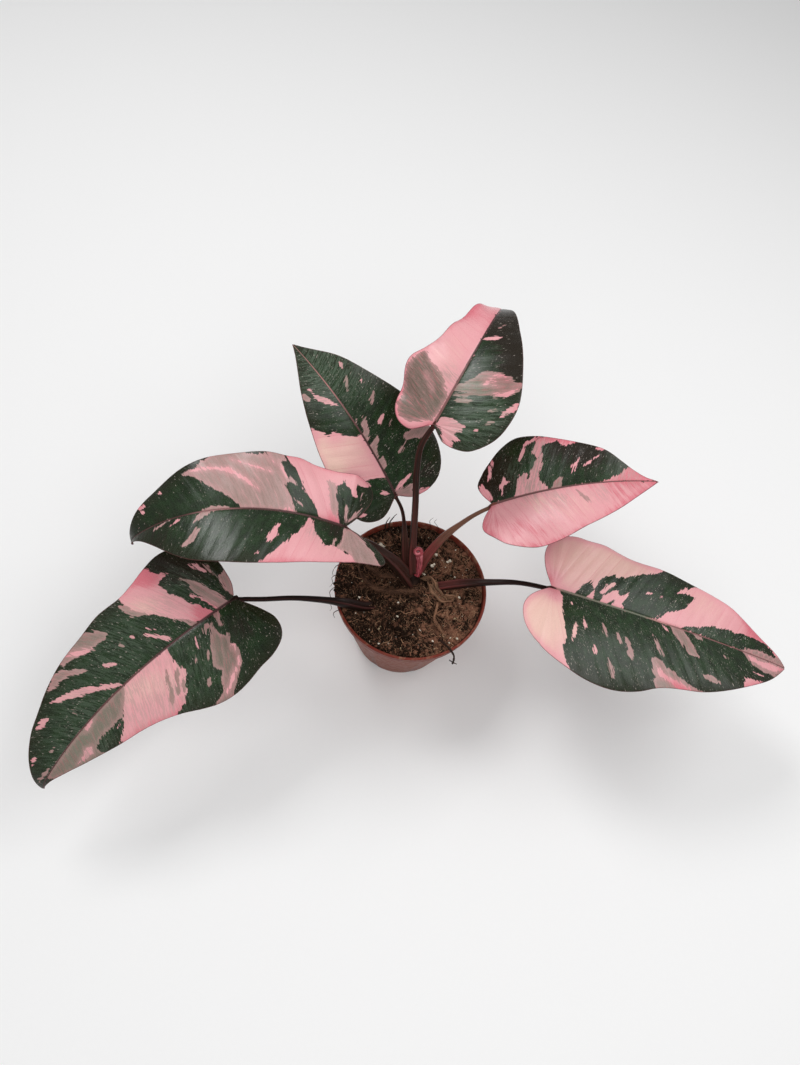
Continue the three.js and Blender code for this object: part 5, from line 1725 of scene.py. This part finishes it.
class PlantColours(bpy.types.PropertyGroup):
    """Colours of the plant, the soil and the pot."""

    green: paint("Green of the blade", 0.013, 0.031, 0.009)
    green_dark: paint("Darker green", 0.008, 0.016, 0.005)
    green_light: paint("Lighter green", 0.026, 0.058, 0.024)
    # Pale grey green of the hazy places, partly a painted sheen on the green.
    green_grey_and_sheen: paint("Hazy green", 0.085, 0.118, 0.08)
    green_brown: paint("Green by the margin", 0.015, 0.01, 0.005)
    pink: paint("Pink of the blade", 0.75, 0.35, 0.372)
    cream: paint("Cream of the blade", 0.8, 0.53, 0.45)
    # A darker peach, partly a painted shade on the pink.
    peach_and_shade: paint("Peach of the blade", 0.6, 0.38, 0.26)
    rose: paint("Rose of the blade", 0.64, 0.165, 0.205)
    rose_dusk: paint("Dusky rose of the blade", 0.36, 0.13, 0.13)
    grey: paint("Pale grey of the blade", 0.45, 0.29, 0.27)
    grey_dark: paint("Dark grey of the blade", 0.1, 0.08, 0.056)
    grey_green: paint("Greenish grey of the blade", 0.19, 0.215, 0.155)
    fleck: paint("Flecks", 0.5, 0.43, 0.38)
    rib_dark: paint("Dark midrib", 0.026, 0.01, 0.01)
    rib_pale: paint("Pale midrib", 0.43, 0.2, 0.19)
    rib_grey: paint("Grey green midrib", 0.13, 0.15, 0.105)
    margin: paint("Margin of the blade", 0.085, 0.02, 0.02)
    under: paint("Underside of the blade", 0.16, 0.045, 0.045)
    stalk: paint("Stalk", 0.01, 0.0055, 0.004)
    stalk_red: paint("Red of the stalk", 0.052, 0.012, 0.009)
    stalk_wine: paint("Streaks of the stalk", 0.17, 0.034, 0.033)
    # Tan of the stalks, partly a painted highlight.
    stalk_tan_and_highlight: paint("Tan of the stalk", 0.25, 0.125, 0.082)
    pot: paint("Pot", 0.195, 0.042, 0.018)
    pot_rim: paint("Rim of the pot", 0.165, 0.028, 0.018)
    pot_worn: paint("Worn pot", 0.23, 0.095, 0.066)
    soil: paint("Damp soil", 0.012, 0.006, 0.0035)
    soil_brown: paint("Brown soil", 0.19, 0.088, 0.054)
    soil_light: paint("Soil dust", 0.3, 0.19, 0.12)
    perlite: paint("Perlite", 0.8, 0.74, 0.64)
    perlite_stained: paint("Stained perlite", 0.42, 0.33, 0.2)
    fibre: paint("Coir fibre", 0.46, 0.26, 0.155)
    fibre_dark: paint("Dark coir fibre", 0.05, 0.025, 0.015)
    sheath: paint("Young sheath", 0.36, 0.05, 0.065)
    sheath_dark: paint("Base of the young sheath", 0.13, 0.012, 0.016)
    sheath_pink: paint("Tip of the young sheath", 0.72, 0.26, 0.29)
    husk: paint("Dead sheath", 0.1, 0.058, 0.034)
    husk_pale: paint("Pale dead sheath", 0.29, 0.15, 0.088)
    root: paint("Root", 0.035, 0.016, 0.01)
    root_pale: paint("Pale root", 0.13, 0.066, 0.04)
    root_tan: paint("Tan root", 0.4, 0.2, 0.115)
    floor: paint("Floor", 0.9, 0.9, 0.9)
    floor_grain: paint("Grain of the floor", 0.8, 0.8, 0.8)


class MakeBlades(bpy.types.Operator):
    """Make the blades with their sectors, veins and margins."""

    bl_idname = "philodendron.make_blades"
    bl_label = "Blades"

    def execute(self, context):
        sizes, colours = plant(context)
        material = blade_material(colours)
        for number in BLADES:
            settle(make_blade(number, material, sizes), "leaf", f"leaf_{number}")
        return {"FINISHED"}


class MakeStalks(bpy.types.Operator):
    """Make the stalks of the blades and the crown that they leave."""

    bl_idname = "philodendron.make_stalks"
    bl_label = "Stalks and crown"

    def execute(self, context):
        _, colours = plant(context)
        material = petiole_material(colours)
        for number in PETIOLES:
            settle(make_petiole(number, material), "petiole", f"petiole_{number}")
        crown = sweep("crown", stem_material(colours), (STEM, 40, 1.6, ringed_section))
        settle(crown, "stem", "stem")
        return {"FINISHED"}


class MakeSheaths(bpy.types.Operator):
    """Make the young sheath beside the crown and the dead one on the soil."""

    bl_idname = "philodendron.make_sheaths"
    bl_label = "Sheaths"

    def execute(self, context):
        _, colours = plant(context)
        curl = dict(route=curl_route(), radii=[1.0, 1.5, 1.6, 1.4, 0.8])
        young = sweep("young_sheath", young_sheath_material(colours),
                      (CATAPHYLL, 40, 3.0, creased_section), (curl, 16, 2.0), tones=YOUNG_TONES)
        settle(young, "cataphyll", "cataphyll")
        material = tissue_material("husk_finish", colours.husk, colours.husk_pale, 0.75)
        husk = sweep("husk", material, (DRY_SHEATH, 48, 2.0, husk_section))
        settle(husk, "dry_sheath", "dry_sheath")
        return {"FINISHED"}


class MakeRoots(bpy.types.Operator):
    """Make the roots on the soil, with their twigs and the hairs over the rim."""

    bl_idname = "philodendron.make_roots"
    bl_label = "Roots"

    def execute(self, context):
        _, colours = plant(context)
        plain = tissue_material("root_finish", colours.root, colours.root_pale, 0.85)
        dark = tissue_material("dark_root_finish", colours.soil, colours.root, 0.8)
        tan = tissue_material("tan_root_finish", colours.root_pale, colours.root_tan, 0.8)
        finishes = {"root_rim": dark, "root_thin": tan}
        for seed, (name, form) in enumerate(ROOTS.items()):
            tubes = [(form, 24, 2.5, bark_section(seed, 30.0, 0.26))]
            tubes += [twig(route, radius, (1, 1, 0.6), 8, seed + 9) for route, radius in TWIGS[name]]
            settle(sweep(name + "_bark", finishes.get(name, plain), *tubes), "root", name)
        tubes = [twig(route, radius, (1, 1, 0.8, 0.4), 7, seed)
                 for seed, (route, radius) in enumerate(LOOSE_TWIGS)]
        settle(sweep("rim_hairs", dark, *tubes), "root")
        return {"FINISHED"}


class MakePot(bpy.types.Operator):
    """Make the moulded pot with its rolled rim and its drain holes."""

    bl_idname = "philodendron.make_pot"
    bl_label = "Pot"

    def execute(self, context):
        _, colours = plant(context)
        settle(make_pot(pot_material(colours)), "pot", "pot")
        return {"FINISHED"}


class MakeSoil(bpy.types.Operator):
    """Make the soil with its heap over the rim."""

    bl_idname = "philodendron.make_soil"
    bl_label = "Soil"

    def execute(self, context):
        _, colours = plant(context)
        settle(make_soil(soil_material(colours)), "soil", "soil")
        return {"FINISHED"}


class MakeLitter(bpy.types.Operator):
    """Scatter crumbs, clods, perlite and coir fibres over the soil, and hairs on the roots."""

    bl_idname = "philodendron.make_litter"
    bl_label = "Soil litter"

    def execute(self, context):
        sizes, colours = plant(context)
        grains, fibres = make_grain_scatter(), make_fibre_scatter()
        crumb = grain_material("crumb_finish", colours.soil, colours.soil_brown, 0.9, 0.6)
        bed = make_bed(3.0)
        scatter("crumbs", grains, sizes.crumbs, make_bed(1.5), "soil", Seed=3, Smallest=0.0003,
                Largest=0.0014, Rarity=2.5, Fineness=1, Material=crumb)
        scatter("clods", grains, sizes.clods, bed, "soil", Seed=11, Smallest=0.0011,
                Largest=0.0026, Rarity=2.5, Fineness=3, Material=crumb)
        white = grain_material("perlite_finish", colours.perlite_stained, colours.perlite, 0.7)
        scatter("perlite", grains, sizes.perlite, bed, "soil", Seed=23, Smallest=0.0002,
                Largest=0.001, Rarity=4.0, Fineness=2, Material=white)
        tubes = [pebble(seed, *grain) for seed, grain in enumerate(PERLITE)]
        settle(sweep("large_perlite", white, *tubes, tones=PERLITE_TONES), "soil")
        coir = grain_material("coir_finish", colours.fibre_dark, colours.fibre, 0.75, 0.6)
        scatter("coir", fibres, sizes.fibres, make_bed(4.0), "root", Seed=31, Shortest=0.003,
                Longest=0.013, Thickness=0.016, Tilt=0.25, Material=coir)
        hair = grain_material("hair_finish", colours.root, colours.husk_pale, 0.8)
        for step, (name, share) in enumerate(HAIR_SHARES.items()):
            root = make_mesh("bed", *swept(ROOTS[name], 12, 1.0)[:2])
            scatter(name + "_hairs", fibres, int(sizes.hairs * share), root, "root", Seed=41 + step,
                    Shortest=0.003, Longest=0.009, Thickness=0.018, Tilt=0.5, Material=hair)
        return {"FINISHED"}


class MakeStage(bpy.types.Operator):
    """Make the pale floor, the soft lights and the camera."""

    bl_idname = "philodendron.make_stage"
    bl_label = "Stage"

    def execute(self, context):
        _, colours = plant(context)
        make_camera(context.scene)
        make_lights(context.scene)
        make_floor(colours)
        return {"FINISHED"}


class PlantPanel(bpy.types.Panel):
    """Lists the steps that build the plant."""

    bl_idname = "VIEW3D_PT_philodendron"
    bl_label = "Philodendron"
    bl_space_type = "VIEW_3D"
    bl_region_type = "UI"
    bl_category = "Philodendron"

    def draw(self, context):
        for step in STEPS:
            self.layout.operator(step.bl_idname)
        for group in plant(context):
            for name in group.__annotations__:
                self.layout.prop(group, name)


STEPS = (MakeStage, MakePot, MakeSoil, MakeLitter, MakeRoots, MakeSheaths, MakeStalks, MakeBlades)
CLASSES = (PlantSizes, PlantColours, *STEPS, PlantPanel)


def register():
    for made in CLASSES:
        bpy.utils.register_class(made)
    bpy.types.Scene.philodendron_sizes = PointerProperty(type=PlantSizes)
    bpy.types.Scene.philodendron_colours = PointerProperty(type=PlantColours)


def unregister():
    del bpy.types.Scene.philodendron_sizes
    del bpy.types.Scene.philodendron_colours
    for made in reversed(CLASSES):
        bpy.utils.unregister_class(made)


def main():
    register()
    make_shared_groups()
    for step in STEPS:
        family, name = step.bl_idname.split(".")
        getattr(getattr(bpy.ops, family), name)()


if __name__ == "__main__":
    main()
